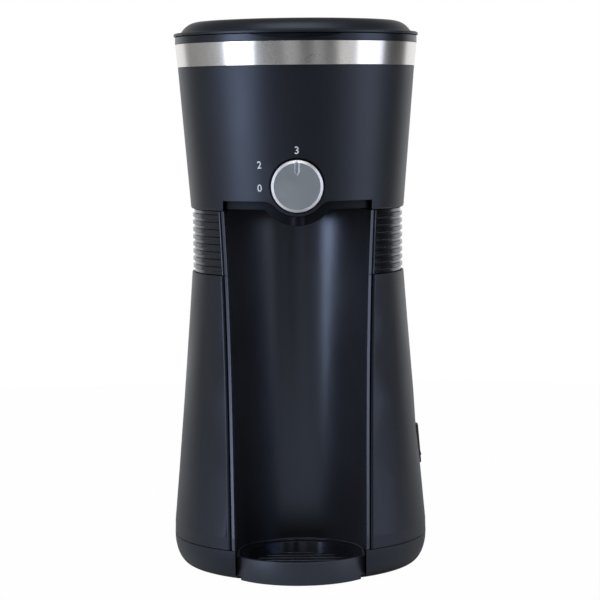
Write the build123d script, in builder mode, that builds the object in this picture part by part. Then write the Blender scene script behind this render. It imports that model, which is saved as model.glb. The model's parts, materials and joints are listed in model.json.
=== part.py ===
"""Iced coffee maker: waisted column, flared head, tumbler bay, drip tray and brew valve.

Millimetres, +Z up. The origin is on the floor under the middle of the base, the bay
opens towards -Y, and the viewer's right is +X.
"""

from build123d import *
from math import atan2, cos, degrees, hypot, radians, sin
import os

os.makedirs("parts", exist_ok=True)

# Driving dimensions of the casing

WALL = 2.4
SEAM = 0.4
FOOT_HEIGHT = 1.0
FLOOR_TOP = 3.0

BASE_RADIUS = 69.5
BASE_BOTTOM_RADIUS = 61.3
BASE_TOP = 17.0

BODY_BOTTOM = BASE_TOP + SEAM
BODY_KNEE = 24.0
BODY_TOP = 162.0
BODY_KNEE_RADIUS = 69.35
BODY_MID_RADIUS = 63.15
BODY_MID = 95.0
BODY_TOP_RADIUS = 58.05

WAIST_BOTTOM = BODY_TOP + SEAM
WAIST_TOP = 196.2
WAIST_RADIUS = 57.5
GROOVE_COUNT = 9
GROOVE_DEPTH = 0.9
GROOVE_WIDTH = 2.1
GROOVE_BORDER = 1.3

HEAD_BOTTOM = WAIST_TOP + SEAM
HEAD_TOP = 273.0
HEAD_BOTTOM_RADIUS = 58.25
HEAD_TOP_RADIUS = 64.5

BAND_BOTTOM = HEAD_TOP + 0.2
BAND_TOP = 285.5
BAND_BOTTOM_RADIUS = 64.6
BAND_TOP_RADIUS = 65.8
BAND_THICKNESS = 0.7

RIM_BOTTOM = 285.7
RIM_TOP = 289.4
RIM_RADIUS = 65.9
RIM_BORE = 62.1
DECK_TOP = 284.0
DECK_BOTTOM = 282.0

LID_BOTTOM = 289.8
LID_FLANGE_TOP = 291.4
LID_FLANGE_RADIUS = 66.6
LID_TOP = 298.0

# Tumbler bay: the half width of its U section at four heights, with an upright back

BAY_BACK = -3.7
BAY_HALF_WIDTHS = ((3.2, 34.7), (90.0, 35.6), (162.0, 37.4), (206.0, 39.7))
BAY_FRONT = -85.0
PANEL = 1.6
PANEL_TOP = 196.4
LIP_HEIGHT = 202.0
LIP_HALF_WIDTH = 39.5

LIP_CUT = 14.0
LIP_BLEND = 8.0

# Knob and brew valve, all on one level axis along Y

KNOB_HEIGHT = 210.3
KNOB_RADIUS = 13.5
KNOB_FRONT = -71.0
WELL_RADIUS = 14.7
WELL_COLLAR_RADIUS = 16.2
WELL_FLOOR = -53.0
CHIN_RADIUS = 21.3
UNDERSIDE = 197.6
DRIP_Y = -30.0
DRIP_BORE = 2.1
PLUG_RADIUS = 5.0
BARREL_BORE = 5.05
STEM_RADIUS = 3.0
STEM_FLAT = 2.2
STEM_GRIP = 12.0
STEM_HOLE = 6.3
WELL_WALL = 2.0
CAP_RADIUS = 12.15
CAP_SEAT = -69.4
CAP_THICKNESS = 1.4
HUB_RADIUS = 5.4
POINTER_HALF_WIDTH = 0.8
POINTER_SHOULDER = 7.3
POINTER_TIP = 6.3
POINTER_DEPTH = 0.7
BARREL_FRONT = -51.0
BARREL_BACK = -22.0
BARREL_RADIUS = 8.0
PLUG_END = -18.6
SEAL_SEAT = 3.8
SEAL_OUTER = 5.03
SEAL_WIDTH = 1.6
SEAL_PLACES = (-42.0, -25.0)
CLIP_PLACE = -20.8
CLIP_WIDTH = 0.8
CLIP_RADIUS = 6.6
VALVE_FLANGE = 2.5
VALVE_FLANGE_RADIUS = 13.6
VALVE_SCREW_X = 10.9
VALVE_SCREW_RADIUS = 1.2
VALVE_SCREW_HEAD = 2.3
VALVE_SCREW_BITE = 1.5
INLET_RADIUS = 7.0
INLET_TOP = 224.0
OUTLET_RADIUS = 6.5
OUTLET_BOTTOM = 198.0
NECK_RADIUS = 4.4
NECK_DEPTH = 6.8
NOZZLE_RADIUS = 4.35
NOZZLE_GRIP = 5.0
NOZZLE_BOTTOM = 188.3

# Underside of the head over the bay

UNDERSIDE_RADIUS = 55.9
UNDERSIDE_HEIGHT = 8.0
UNDERSIDE_WALL = 1.8
CHIN_BACK = -16.0
CHIN_BOSS_RADIUS = 4.35
CHIN_BOSS_Y = -53.6

# Brew basket and filter

NECK_BOTTOM = 217.3
NECK_TOP = 225.0
BASKET_LOW = 231.0
BASKET_LOW_RADIUS = 25.6
BASKET_TOP_RADIUS = 28.9
BASKET_OPENING = 29.2
BASKET_FLANGE_RADIUS = 30.4
BASKET_WALL = 1.5
FILTER_LOW = 236.0
FILTER_LOW_RADIUS = 22.6
FILTER_TOP_RADIUS = 26.3
FILTER_FLANGE_RADIUS = 29.5
FRAME_TOP = DECK_TOP + BASKET_WALL
FRAME_WALL = 0.9
WINDOW_WIDTH = 15.0
MESH = 0.4

# Drip tray

TRAY_CENTRE = -38.5
TRAY_RADIUS = 34.3
TRAY_RIM = 13.4
TRAY_WELL_INSET = 5.5
TRAY_BOW_CENTRE = -18.4
TRAY_BOW_RADIUS = 54.4
TRAY_CORNER = 1.5
TRAY_FLOOR = 6.2
TRAY_RIB_PITCH = 7.0
TRAY_RIB_DISC = 25.6
TRAY_RIB_WIDTH = 1.8
TRAY_RIB_HEIGHT = 0.8
LEDGE_DROP = 0.5
RIM_BEAD = 1.1
SKIRT_START = -52.9

# Lid hinge

HINGE_Y = 70.5
HINGE_Z = 289.6
PIN_RADIUS = 1.5
PIN_BORE = 1.55
KNUCKLE_HALF = 11.6
EAR_OUTER = 17.0
EAR_RADIUS = 3.6

# Lid and rim details

DOME_FLAT = 46.0
DOME_FOOT = 62.3
LINER_RADIUS = 60.2
LINER_TOP = 292.6
LINER_BOTTOM = 286.8
GASKET_BOTTOM = 287.4
GASKET_TOP = 289.0
GASKET_RADIUS = 61.7
TAB_HALF_WIDTH = 21.0
SCOOP_LOW = 287.1
SCOOP_RADIUS = 134.0
SCOOP_HALF_WIDTH = 25.3
SCOOP_DEPTH = 2.6
RIM_NECK_RADIUS = 61.3
RIM_NECK_BOTTOM = 266.0
RIM_NECK_WALL = 1.3
FILL_RADIUS = 53.0
FILL_FRONT = 18.0
FILL_HALF_WIDTH = 38.0

# Water path

HOSE_RADIUS = 5.5
TUBE_RADIUS = 4.0
TUBE_BORE = 2.8
HEATER_CENTRE = 27.0
HEATER_BEND = 22.0
HEATER_LEG_END = 33.0
HEATER_LOW = 32.0
HEATER_TOP = 52.0
STRAP_Y = 29.0
STRAP_SHANK = 12.0
TANK_BOTTOM = 180.0
TANK_TOP = 281.9
TANK_FRONT = 12.0
TANK_LOW_RADIUS = 52.6
TANK_TOP_RADIUS = 57.5
TANK_WALL = 1.8
SPIGOT = 15.0
COLD_POINT = (-22.0, 41.0)
HOT_POINT = (22.0, 41.0)
RISER_TOP = (28.0, 5.0)
RISER_LEAVES = 95.0
RISER_ARRIVES = 165.0
RISER_BEND = 60.0
HOSE_LOW = 56.0
HOSE_HIGH = 268.0
CHECK_LOW = 145.0
CHECK_RADIUS = 7.0
DUCKBILL_TOP = 162.0
CLIP_BAND = 5.0
CLIP_SITES = (
    (COLD_POINT, 59.0),
    (COLD_POINT, 138.0),
    (HOT_POINT, 59.0),
    (RISER_TOP, 262.5),
)
HEATER_WIDTH = 10.0
WATER_TUBE_Z = 46.9
ELEMENT_Z = 37.1
STUB_BEND = 8.0
STUB_TOP = 67.0
STRAP_WIDTH = 7.0
STRAP_THICKNESS = 1.2
THERMOSTAT_Y = 7.2
FUSE_RADIUS = 2.0
SPOUT_LOW = 286.9
SPOUT_HEIGHT = 4.0
SPOUT_WIDTH = 10.0

# Switch and cord outlet

SWITCH_AZIMUTH = 100.0
SWITCH_HEIGHT = 64.0
SWITCH_SURFACE = 65.75
SHELL_LEAN = 4.76
BUSH_HEIGHT = 30.0
CORD_BORE = 3.3
SWITCH_BODY_WIDTH = 10.8
SWITCH_BODY_HEIGHT = 19.2
BEZEL_WIDTH = 13.0
BEZEL_HEIGHT = 22.3
ROCKER_TRAVEL = 10.0
ROCKER_REACH = 8.5
PIVOT_DEPTH = 3.0
BUSH_SEAT = 68.3
BUSH_FLANGE_RADIUS = 7.5
BUSH_NECK_RADIUS = 5.4
BUSH_END = 71.2
BEZEL_TOP = 1.0
BEZEL_THICKNESS = 1.4
SWITCH_DEPTH = 13.0
ROCKER_WIDTH = 8.7
ROCKER_FACE = 3.7
TRUNNION_RADIUS = 1.0

# Screws, posts and feet under the base: two points in front, then two behind

SCREW_POINTS = [(34.8, -18.4), (-34.8, -18.4), (34.7, 41.4), (-34.7, 41.4)]
SCREW_RADIUS = 1.5
SCREW_HEAD_RADIUS = 3.0
SCREW_HEAD = 2.2
SCREW_WELL = 10.0
SCREW_SHANK = 18.0
BOSS_RADIUS = 4.5
POST_RADIUS = 4.0
POST_HEIGHT = 17.0
REAR_WEB = 13.4
FOOT_POINTS = [(41, -28.7), (-41, -28.7), (41, 28.7), (-41, 28.7)]
FOOT_RADIUS = 6.0
FOOT_SEAT = 0.8
CORNER = 1.3
NOTCH_RADIUS = 34.7
TRAY_SKIRT = 2.0

KNOB_AXIS = Axis((0, 0, KNOB_HEIGHT), (0, 1, 0))
KNOB_PLANE = Plane(origin=(0, 0, KNOB_HEIGHT), x_dir=(1, 0, 0), z_dir=(0, 0, 1))
DRIP_AXIS = Axis((0, DRIP_Y, 0), (0, 0, 1))
DRIP_PLANE = Plane.XZ.offset(-DRIP_Y)

azimuth = radians(SWITCH_AZIMUTH)
lean = radians(SHELL_LEAN)
switch_plane = Plane(
    origin=(SWITCH_SURFACE * sin(azimuth), -SWITCH_SURFACE * cos(azimuth), SWITCH_HEIGHT),
    x_dir=(cos(azimuth), sin(azimuth), 0),
    z_dir=(sin(azimuth) * cos(lean), -cos(azimuth) * cos(lean), sin(lean)),
)
pivot_plane = Plane(
    origin=switch_plane.from_local_coords((0, 0, -PIVOT_DEPTH)),
    x_dir=switch_plane.y_dir,
    z_dir=switch_plane.x_dir,
)
bush_plane = Plane(origin=(0, 0, BUSH_HEIGHT), x_dir=(1, 0, 0), z_dir=(0, 0, 1))
bush_axis = Axis((0, 0, BUSH_HEIGHT), (0, 1, 0))


def front_plane(y):
    """A plane facing the viewer at this y: local x is X, local y is Z."""
    return Plane.XZ.offset(-y)


# Tool solids that several pieces are cut by


def bay_channel(margin):
    """The bay's tapered U channel, grown by a margin and open to the front."""
    with BuildPart() as channel:
        for height, half_width in BAY_HALF_WIDTHS:
            centre = BAY_BACK - half_width
            reach = centre - BAY_FRONT
            with BuildSketch(Plane.XY.offset(height)):
                with Locations((0, centre)):
                    Circle(half_width + margin)
                with Locations((0, centre - reach / 2)):
                    Rectangle(2 * (half_width + margin), reach)
        loft()
    return channel.part


def turned(points, plane=Plane.XZ, axis=Axis.Z):
    """A solid of revolution from its half section."""
    with BuildPart() as solid:
        with BuildSketch(plane):
            with BuildLine():
                Polyline(*points, close=True)
            make_face()
        revolve(axis=axis)
    return solid.part


def body_radius(height):
    """Outer radius of the body shell at a height, taken as a straight cone."""
    share = (height - BODY_KNEE) / (BODY_TOP - BODY_KNEE)
    return BODY_KNEE_RADIUS + share * (BODY_TOP_RADIUS - BODY_KNEE_RADIUS)


def waist_radius(height):
    """Outer radius of the waist band, the same at every height."""
    return WAIST_RADIUS


def head_radius(height):
    """Outer radius of the head's cone at a height."""
    share = (height - HEAD_BOTTOM) / (HEAD_TOP - HEAD_BOTTOM)
    return HEAD_BOTTOM_RADIUS + share * (HEAD_TOP_RADIUS - HEAD_BOTTOM_RADIUS)


def bay_edges(builder, skin):
    """Upright edges where the bay opening meets the outer skin."""

    def on_skin(edge):
        middle = edge.center()
        upright = abs(edge.tangent_at(0.5).Z) > 0.9
        in_front = middle.Y < 0 and abs(middle.X) < LIP_HALF_WIDTH + 4
        outside = hypot(middle.X, middle.Y) > skin(middle.Z) - WALL / 2
        return upright and in_front and outside

    return builder.edges().filter_by(on_skin)


bay = bay_channel(0)
panel_outside = bay_channel(PANEL)
shell_opening = bay_channel(PANEL + 0.2)
groove_limit = bay_channel(PANEL + 0.2 + GROOVE_BORDER)

head_cone = turned(
    [
        (0, LIP_HEIGHT - 14),
        (head_radius(LIP_HEIGHT - 14), LIP_HEIGHT - 14),
        (HEAD_TOP_RADIUS, HEAD_TOP),
        (0, HEAD_TOP),
    ]
)

# The space inside the casing that the bay panel may fill

with BuildPart() as panel_limit:
    with BuildSketch(Plane.XZ):
        with BuildLine():
            Line((0, FLOOR_TOP + 0.2), (BASE_BOTTOM_RADIUS - 1, FLOOR_TOP + 0.2))
            EllipticalCenterArc(
                (BASE_BOTTOM_RADIUS - 1, BASE_TOP + 0.2),
                BASE_RADIUS - BASE_BOTTOM_RADIUS - WALL + 0.8,
                BASE_TOP - FLOOR_TOP,
                start_angle=-90,
                arc_size=90,
            )
            Polyline(
                (BASE_RADIUS - WALL - 0.2, BASE_TOP + 0.2),
                (BASE_RADIUS - SEAM, BASE_TOP + 0.2),
                (BODY_KNEE_RADIUS - SEAM, BODY_KNEE),
            )
            ThreePointArc(
                (BODY_KNEE_RADIUS - SEAM, BODY_KNEE),
                (BODY_MID_RADIUS - SEAM, BODY_MID),
                (BODY_TOP_RADIUS - SEAM, BODY_TOP),
            )
            Polyline(
                (BODY_TOP_RADIUS - SEAM, BODY_TOP),
                (WAIST_RADIUS - SEAM, WAIST_BOTTOM),
                (WAIST_RADIUS - SEAM, PANEL_TOP),
                (0, PANEL_TOP),
                (0, FLOOR_TOP + 0.2),
            )
        make_face()
    revolve(axis=Axis.Z)

with BuildPart() as panel_room:
    add(shell_opening)
    add(panel_limit.part, mode=Mode.INTERSECT)

# The tray seen from above: round at the back, straight at the sides and bowed in front

def tray_outline(inset):
    with BuildSketch(mode=Mode.PRIVATE) as outline:
        with Locations((0, TRAY_CENTRE)):
            Circle(TRAY_RADIUS - inset)
            Rectangle(2 * (TRAY_RADIUS - inset), TRAY_RADIUS, align=(Align.CENTER, Align.MAX))
        with Locations((0, TRAY_BOW_CENTRE)):
            Circle(TRAY_BOW_RADIUS - inset, mode=Mode.INTERSECT)
        fillet(outline.vertices().group_by(Axis.Y)[0], radius=TRAY_CORNER)
    return outline.sketch


# Base shell

with BuildPart() as base_shell:
    with BuildSketch(Plane.XZ):
        with BuildLine():
            Line((0, FOOT_HEIGHT), (BASE_BOTTOM_RADIUS, FOOT_HEIGHT))
            EllipticalCenterArc(
                (BASE_BOTTOM_RADIUS, BASE_TOP),
                BASE_RADIUS - BASE_BOTTOM_RADIUS,
                BASE_TOP - FOOT_HEIGHT,
                start_angle=-90,
                arc_size=90,
            )
            Line((BASE_RADIUS, BASE_TOP), (BASE_RADIUS - WALL, BASE_TOP))
            EllipticalCenterArc(
                (BASE_BOTTOM_RADIUS, BASE_TOP),
                BASE_RADIUS - BASE_BOTTOM_RADIUS - WALL,
                BASE_TOP - FLOOR_TOP,
                start_angle=-90,
                arc_size=90,
            )
            Polyline((BASE_BOTTOM_RADIUS, FLOOR_TOP), (0, FLOOR_TOP), (0, FOOT_HEIGHT))
        make_face()
    revolve(axis=Axis.Z)

    # notch that the tray slides into, with rounded corners
    with BuildSketch(Plane.XY.offset(FLOOR_TOP)):
        with Locations((0, TRAY_CENTRE)):
            Circle(NOTCH_RADIUS)
        with Locations((0, TRAY_CENTRE - 25)):
            Rectangle(2 * NOTCH_RADIUS, 50)
    extrude(amount=BASE_TOP, mode=Mode.SUBTRACT)
    # the tray's skirt hangs in front of the floor's edge
    with BuildSketch(Plane.XY.offset(FOOT_HEIGHT)):
        add(tray_outline(-SEAM))
        add(tray_outline(TRAY_SKIRT + SEAM), mode=Mode.SUBTRACT)
        with Locations((0, SKIRT_START + SEAM)):
            Rectangle(100, 100, align=(Align.CENTER, Align.MIN), mode=Mode.SUBTRACT)
    extrude(amount=FLOOR_TOP, mode=Mode.SUBTRACT)
    # four deep screw wells, clear of the bay panel
    with BuildSketch(Plane.XY.offset(FLOOR_TOP)):
        with Locations(*SCREW_POINTS):
            Circle(BOSS_RADIUS)
    extrude(amount=BASE_TOP - FLOOR_TOP)
    add(panel_room.part, mode=Mode.SUBTRACT)
    with Locations(*[(x, y, FOOT_HEIGHT) for x, y in SCREW_POINTS]):
        Cylinder(
            SCREW_HEAD_RADIUS + 0.3,
            SCREW_WELL,
            align=(Align.CENTER, Align.CENTER, Align.MIN),
            mode=Mode.SUBTRACT,
        )
        Cylinder(
            SCREW_RADIUS + 0.2,
            BASE_TOP,
            align=(Align.CENTER, Align.CENTER, Align.MIN),
            mode=Mode.SUBTRACT,
        )
    # posts under the heater's legs and the strap's boss between them
    with BuildSketch(Plane.XY.offset(FLOOR_TOP)):
        with Locations((HEATER_BEND, STRAP_Y), (-HEATER_BEND, STRAP_Y)):
            Circle(POST_RADIUS)
    extrude(amount=HEATER_LOW - FLOOR_TOP)
    with BuildSketch(Plane.XY.offset(FLOOR_TOP)):
        with Locations((0, STRAP_Y)):
            Circle(BOSS_RADIUS)
    extrude(amount=HEATER_TOP - FLOOR_TOP)
    with Locations((0, STRAP_Y, HEATER_TOP)):
        Hole(SCREW_RADIUS, STRAP_SHANK)
    # shallow seats for the feet
    with BuildSketch(Plane.XY.offset(FOOT_HEIGHT)):
        with Locations(*FOOT_POINTS):
            Circle(FOOT_RADIUS + 0.1)
    extrude(amount=FOOT_SEAT, mode=Mode.SUBTRACT)

base_shell.part.label = "base_shell"
export_step(base_shell.part, "parts/base_shell.step")

# Rubber feet

with BuildPart() as rubber_feet:
    with BuildSketch(Plane.XY):
        with Locations(*FOOT_POINTS):
            Circle(FOOT_RADIUS)
    extrude(amount=FOOT_HEIGHT + FOOT_SEAT)

rubber_feet.part.label = "rubber_feet"
export_step(rubber_feet.part, "parts/rubber_feet.step")

# Base screws

with BuildPart() as base_screws:
    with BuildSketch(Plane.XY.offset(FOOT_HEIGHT + SCREW_WELL - SCREW_HEAD)):
        with Locations(*SCREW_POINTS):
            Circle(SCREW_HEAD_RADIUS)
    extrude(amount=SCREW_HEAD)
    with BuildSketch(Plane.XY.offset(FOOT_HEIGHT + SCREW_WELL)):
        with Locations(*SCREW_POINTS):
            Circle(SCREW_RADIUS)
    extrude(amount=SCREW_SHANK)

base_screws.part.label = "base_screws"
export_step(base_screws.part, "parts/base_screws.step")

# Body shell

with BuildPart() as body_shell:
    with BuildSketch(Plane.XZ):
        with BuildLine():
            Polyline(
                (BASE_RADIUS - WALL, BODY_BOTTOM),
                (BASE_RADIUS, BODY_BOTTOM),
                (BODY_KNEE_RADIUS, BODY_KNEE),
            )
            ThreePointArc(
                (BODY_KNEE_RADIUS, BODY_KNEE),
                (BODY_MID_RADIUS, BODY_MID),
                (BODY_TOP_RADIUS, BODY_TOP),
            )
            Line((BODY_TOP_RADIUS, BODY_TOP), (BODY_TOP_RADIUS - WALL, BODY_TOP))
            ThreePointArc(
                (BODY_TOP_RADIUS - WALL, BODY_TOP),
                (BODY_MID_RADIUS - WALL, BODY_MID),
                (BODY_KNEE_RADIUS - WALL, BODY_KNEE),
            )
            Line((BODY_KNEE_RADIUS - WALL, BODY_KNEE), (BASE_RADIUS - WALL, BODY_BOTTOM))
        make_face()
    revolve(axis=Axis.Z)
    add(shell_opening, mode=Mode.SUBTRACT)
    fillet(bay_edges(body_shell, body_radius), radius=CORNER)
    # rear screw posts, webbed to the wall
    with BuildSketch(Plane.XY.offset(BODY_BOTTOM)):
        for x, y in SCREW_POINTS[2:]:
            turn = degrees(atan2(y, x))
            with Locations((x, y)):
                Circle(POST_RADIUS)
            with Locations(Location((x, y, 0), (0, 0, turn))):
                Rectangle(REAR_WEB, 2.4, align=(Align.MIN, Align.CENTER))
    extrude(amount=POST_HEIGHT)
    with Locations(*[(x, y, BODY_BOTTOM) for x, y in SCREW_POINTS[2:]]):
        Cylinder(
            SCREW_RADIUS,
            POST_HEIGHT - 2,
            align=(Align.CENTER, Align.CENTER, Align.MIN),
            mode=Mode.SUBTRACT,
        )
    # window for the switch
    with BuildSketch(switch_plane.offset(-8)):
        Rectangle(SWITCH_BODY_WIDTH + 0.2, SWITCH_BODY_HEIGHT + 0.2)
    extrude(amount=16, mode=Mode.SUBTRACT)
    with BuildSketch(switch_plane.offset(BEZEL_TOP - BEZEL_THICKNESS)):
        RectangleRounded(BEZEL_WIDTH + 0.2, BEZEL_HEIGHT + 0.2, 1.6)
    extrude(amount=8, mode=Mode.SUBTRACT)
    # spot face and hole for the cord bush
    with BuildSketch(front_plane(BUSH_SEAT)):
        with Locations((0, BUSH_HEIGHT)):
            Circle(BUSH_FLANGE_RADIUS + 0.1)
    extrude(amount=-5, mode=Mode.SUBTRACT)
    with BuildSketch(front_plane(50)):
        with Locations((0, BUSH_HEIGHT)):
            Circle(BUSH_NECK_RADIUS)
    extrude(amount=-25, mode=Mode.SUBTRACT)

body_shell.part.label = "body_shell"
export_step(body_shell.part, "parts/body_shell.step")

# Ribbed waist band


def groove_profile():
    """Half section of the band with its grooves, from the bottom up."""
    pitch = (WAIST_TOP - WAIST_BOTTOM - GROOVE_WIDTH) / (GROOVE_COUNT - 1)
    slope = GROOVE_DEPTH / 2
    points = [(WAIST_RADIUS - WALL - 0.6, WAIST_BOTTOM), (WAIST_RADIUS - GROOVE_DEPTH, WAIST_BOTTOM)]
    for index in range(GROOVE_COUNT):
        bottom = WAIST_BOTTOM + index * pitch
        top = bottom + GROOVE_WIDTH
        if index > 0:
            points += [(WAIST_RADIUS, bottom), (WAIST_RADIUS - GROOVE_DEPTH, bottom + slope)]
        if index < GROOVE_COUNT - 1:
            points += [(WAIST_RADIUS - GROOVE_DEPTH, top - slope), (WAIST_RADIUS, top)]
    points += [(WAIST_RADIUS - GROOVE_DEPTH, WAIST_TOP), (WAIST_RADIUS - WALL - 0.6, WAIST_TOP)]
    return points


with BuildPart() as waist_borders:
    with BuildSketch(Plane.XZ):
        with Locations((WAIST_RADIUS, WAIST_BOTTOM)):
            Rectangle(WALL + 0.6, WAIST_TOP - WAIST_BOTTOM, align=(Align.MAX, Align.MIN))
    revolve(axis=Axis.Z)
    add(shell_opening, mode=Mode.SUBTRACT)
    fillet(bay_edges(waist_borders, waist_radius), radius=CORNER / 2)
    add(groove_limit, mode=Mode.INTERSECT)

with BuildPart() as waist_band:
    add(turned(groove_profile()))
    add(groove_limit, mode=Mode.SUBTRACT)
    add(waist_borders.part)

waist_band.part.label = "waist_band"
export_step(waist_band.part, "parts/waist_band.step")

# Bay panel, the wall behind the tumbler

with BuildPart() as bay_panel:
    add(panel_outside)
    add(bay, mode=Mode.SUBTRACT)
    add(panel_limit.part, mode=Mode.INTERSECT)
    # front screw posts
    with BuildSketch(Plane.XY.offset(BODY_BOTTOM)):
        with Locations(*SCREW_POINTS[:2]):
            Circle(POST_RADIUS)
        with Locations((0, BAY_BACK - BAY_HALF_WIDTHS[0][1])):
            Circle(BAY_HALF_WIDTHS[0][1] + PANEL - 0.4, mode=Mode.SUBTRACT)
    extrude(amount=POST_HEIGHT)
    with Locations(*[(x, y, BODY_BOTTOM) for x, y in SCREW_POINTS[:2]]):
        Cylinder(
            SCREW_RADIUS,
            POST_HEIGHT - 2,
            align=(Align.CENTER, Align.CENTER, Align.MIN),
            mode=Mode.SUBTRACT,
        )

bay_panel.part.label = "bay_panel"
export_step(bay_panel.part, "parts/bay_panel.step")

# Head shell: flared ring, raised lip over the bay and the well round the knob

with BuildPart() as lip_cutter:
    with BuildSketch(front_plane(-30)) as lip_view:
        with Locations((0, LIP_HEIGHT)):
            Rectangle(2 * LIP_HALF_WIDTH, LIP_CUT, align=(Align.CENTER, Align.MAX))
        with Locations((0, KNOB_HEIGHT)):
            Circle(WELL_COLLAR_RADIUS, mode=Mode.SUBTRACT)
        level = lip_view.vertices().filter_by_position(Axis.Y, LIP_HEIGHT - 0.1, LIP_HEIGHT + 0.1)
        fillet(level.filter_by_position(Axis.X, -20, 20), radius=LIP_BLEND)
    extrude(amount=50)

with BuildPart() as knob_collar:
    with BuildSketch(front_plane(WELL_FLOOR + WELL_WALL)):
        with Locations((0, KNOB_HEIGHT)):
            Circle(WELL_COLLAR_RADIUS)
    extrude(amount=20)
    add(head_cone, mode=Mode.INTERSECT)

with BuildPart() as head_shell:
    with BuildSketch(Plane.XZ):
        with BuildLine():
            Polyline(
                (HEAD_BOTTOM_RADIUS - WALL, HEAD_BOTTOM),
                (HEAD_BOTTOM_RADIUS, HEAD_BOTTOM),
                (HEAD_TOP_RADIUS, HEAD_TOP),
                (HEAD_TOP_RADIUS - WALL, HEAD_TOP),
                close=True,
            )
        make_face()
    revolve(axis=Axis.Z)
    lowest = head_shell.edges().group_by(Axis.Z)[0]
    fillet(lowest.sort_by(SortBy.RADIUS)[-1], radius=1.2)
    add(lip_cutter.part, mode=Mode.SUBTRACT)
    add(knob_collar.part)
    with BuildSketch(front_plane(WELL_FLOOR)):
        with Locations((0, KNOB_HEIGHT)):
            Circle(WELL_RADIUS)
    extrude(amount=20, mode=Mode.SUBTRACT)
    with BuildSketch(front_plane(WELL_FLOOR + WELL_WALL)):
        with Locations((0, KNOB_HEIGHT)):
            Circle(STEM_HOLE)
    extrude(amount=WELL_WALL, mode=Mode.SUBTRACT)
    with BuildSketch(front_plane(WELL_FLOOR + WELL_WALL)):
        with Locations((VALVE_SCREW_X, KNOB_HEIGHT), (-VALVE_SCREW_X, KNOB_HEIGHT)):
            Circle(VALVE_SCREW_RADIUS)
    extrude(amount=VALVE_SCREW_BITE, mode=Mode.SUBTRACT)

head_shell.part.label = "head_shell"
export_step(head_shell.part, "parts/head_shell.step")

# Head underside: recessed plate over the bay, with the chin under the knob


def underside_solid(inset):
    """The underside's outer form, drawn in by an inset to hollow it."""
    with BuildPart() as solid:
        with BuildSketch(Plane.XY.offset(UNDERSIDE + inset)):
            Circle(UNDERSIDE_RADIUS - inset)
        extrude(amount=UNDERSIDE_HEIGHT - inset)
        with BuildSketch(front_plane(CHIN_BACK - inset)):
            with Locations((0, KNOB_HEIGHT)):
                Circle(CHIN_RADIUS - inset)
            with Locations((0, UNDERSIDE + UNDERSIDE_HEIGHT)):
                Rectangle(60, 60, align=(Align.CENTER, Align.MIN), mode=Mode.SUBTRACT)
        extrude(amount=45)
        with Locations((0, 0, UNDERSIDE - 20)):
            Cylinder(
                UNDERSIDE_RADIUS - inset,
                40,
                align=(Align.CENTER, Align.CENTER, Align.MIN),
                mode=Mode.INTERSECT,
            )
        add(bay_channel(-0.2 - inset), mode=Mode.INTERSECT)
    return solid.part


with BuildPart() as head_underside:
    add(underside_solid(0))
    # round boss in front of the chin
    with BuildSketch(Plane.XY.offset(KNOB_HEIGHT - CHIN_RADIUS + 0.4)):
        with Locations((0, CHIN_BOSS_Y)):
            Circle(CHIN_BOSS_RADIUS)
    extrude(amount=9)
    add(underside_solid(UNDERSIDE_WALL), mode=Mode.SUBTRACT)
    # room for the knob's well and the nozzle
    with BuildSketch(front_plane(WELL_FLOOR + WELL_WALL + 0.2)):
        with Locations((0, KNOB_HEIGHT)):
            Circle(WELL_COLLAR_RADIUS + 0.2)
    extrude(amount=20, mode=Mode.SUBTRACT)
    with Locations((0, DRIP_Y, UNDERSIDE)):
        Hole(NOZZLE_RADIUS + 0.15, 20)

head_underside.part.label = "head_underside"
export_step(head_underside.part, "parts/head_underside.step")

# Steel band

with BuildPart() as steel_band:
    with BuildSketch(Plane.XZ):
        with BuildLine():
            Polyline(
                (BAND_BOTTOM_RADIUS - BAND_THICKNESS, BAND_BOTTOM),
                (BAND_BOTTOM_RADIUS, BAND_BOTTOM),
                (BAND_TOP_RADIUS, BAND_TOP),
                (BAND_TOP_RADIUS - BAND_THICKNESS, BAND_TOP),
                close=True,
            )
        make_face()
    revolve(axis=Axis.Z)

steel_band.part.label = "steel_band"
export_step(steel_band.part, "parts/steel_band.step")

# Top rim with its deck, finger scoop and hinge ears

with BuildPart() as finger_scoop:
    with BuildSketch(front_plane(-50)):
        with Locations((0, SCOOP_LOW + SCOOP_RADIUS)):
            Circle(SCOOP_RADIUS)
        with Locations((0, SCOOP_LOW)):
            Rectangle(
                2 * SCOOP_HALF_WIDTH,
                10,
                align=(Align.CENTER, Align.MIN),
                mode=Mode.INTERSECT,
            )
    extrude(amount=20)
    with Locations((0, 0, DECK_TOP)):
        Cylinder(
            RIM_RADIUS - SCOOP_DEPTH,
            20,
            align=(Align.CENTER, Align.CENTER, Align.MIN),
            mode=Mode.SUBTRACT,
        )

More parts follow.
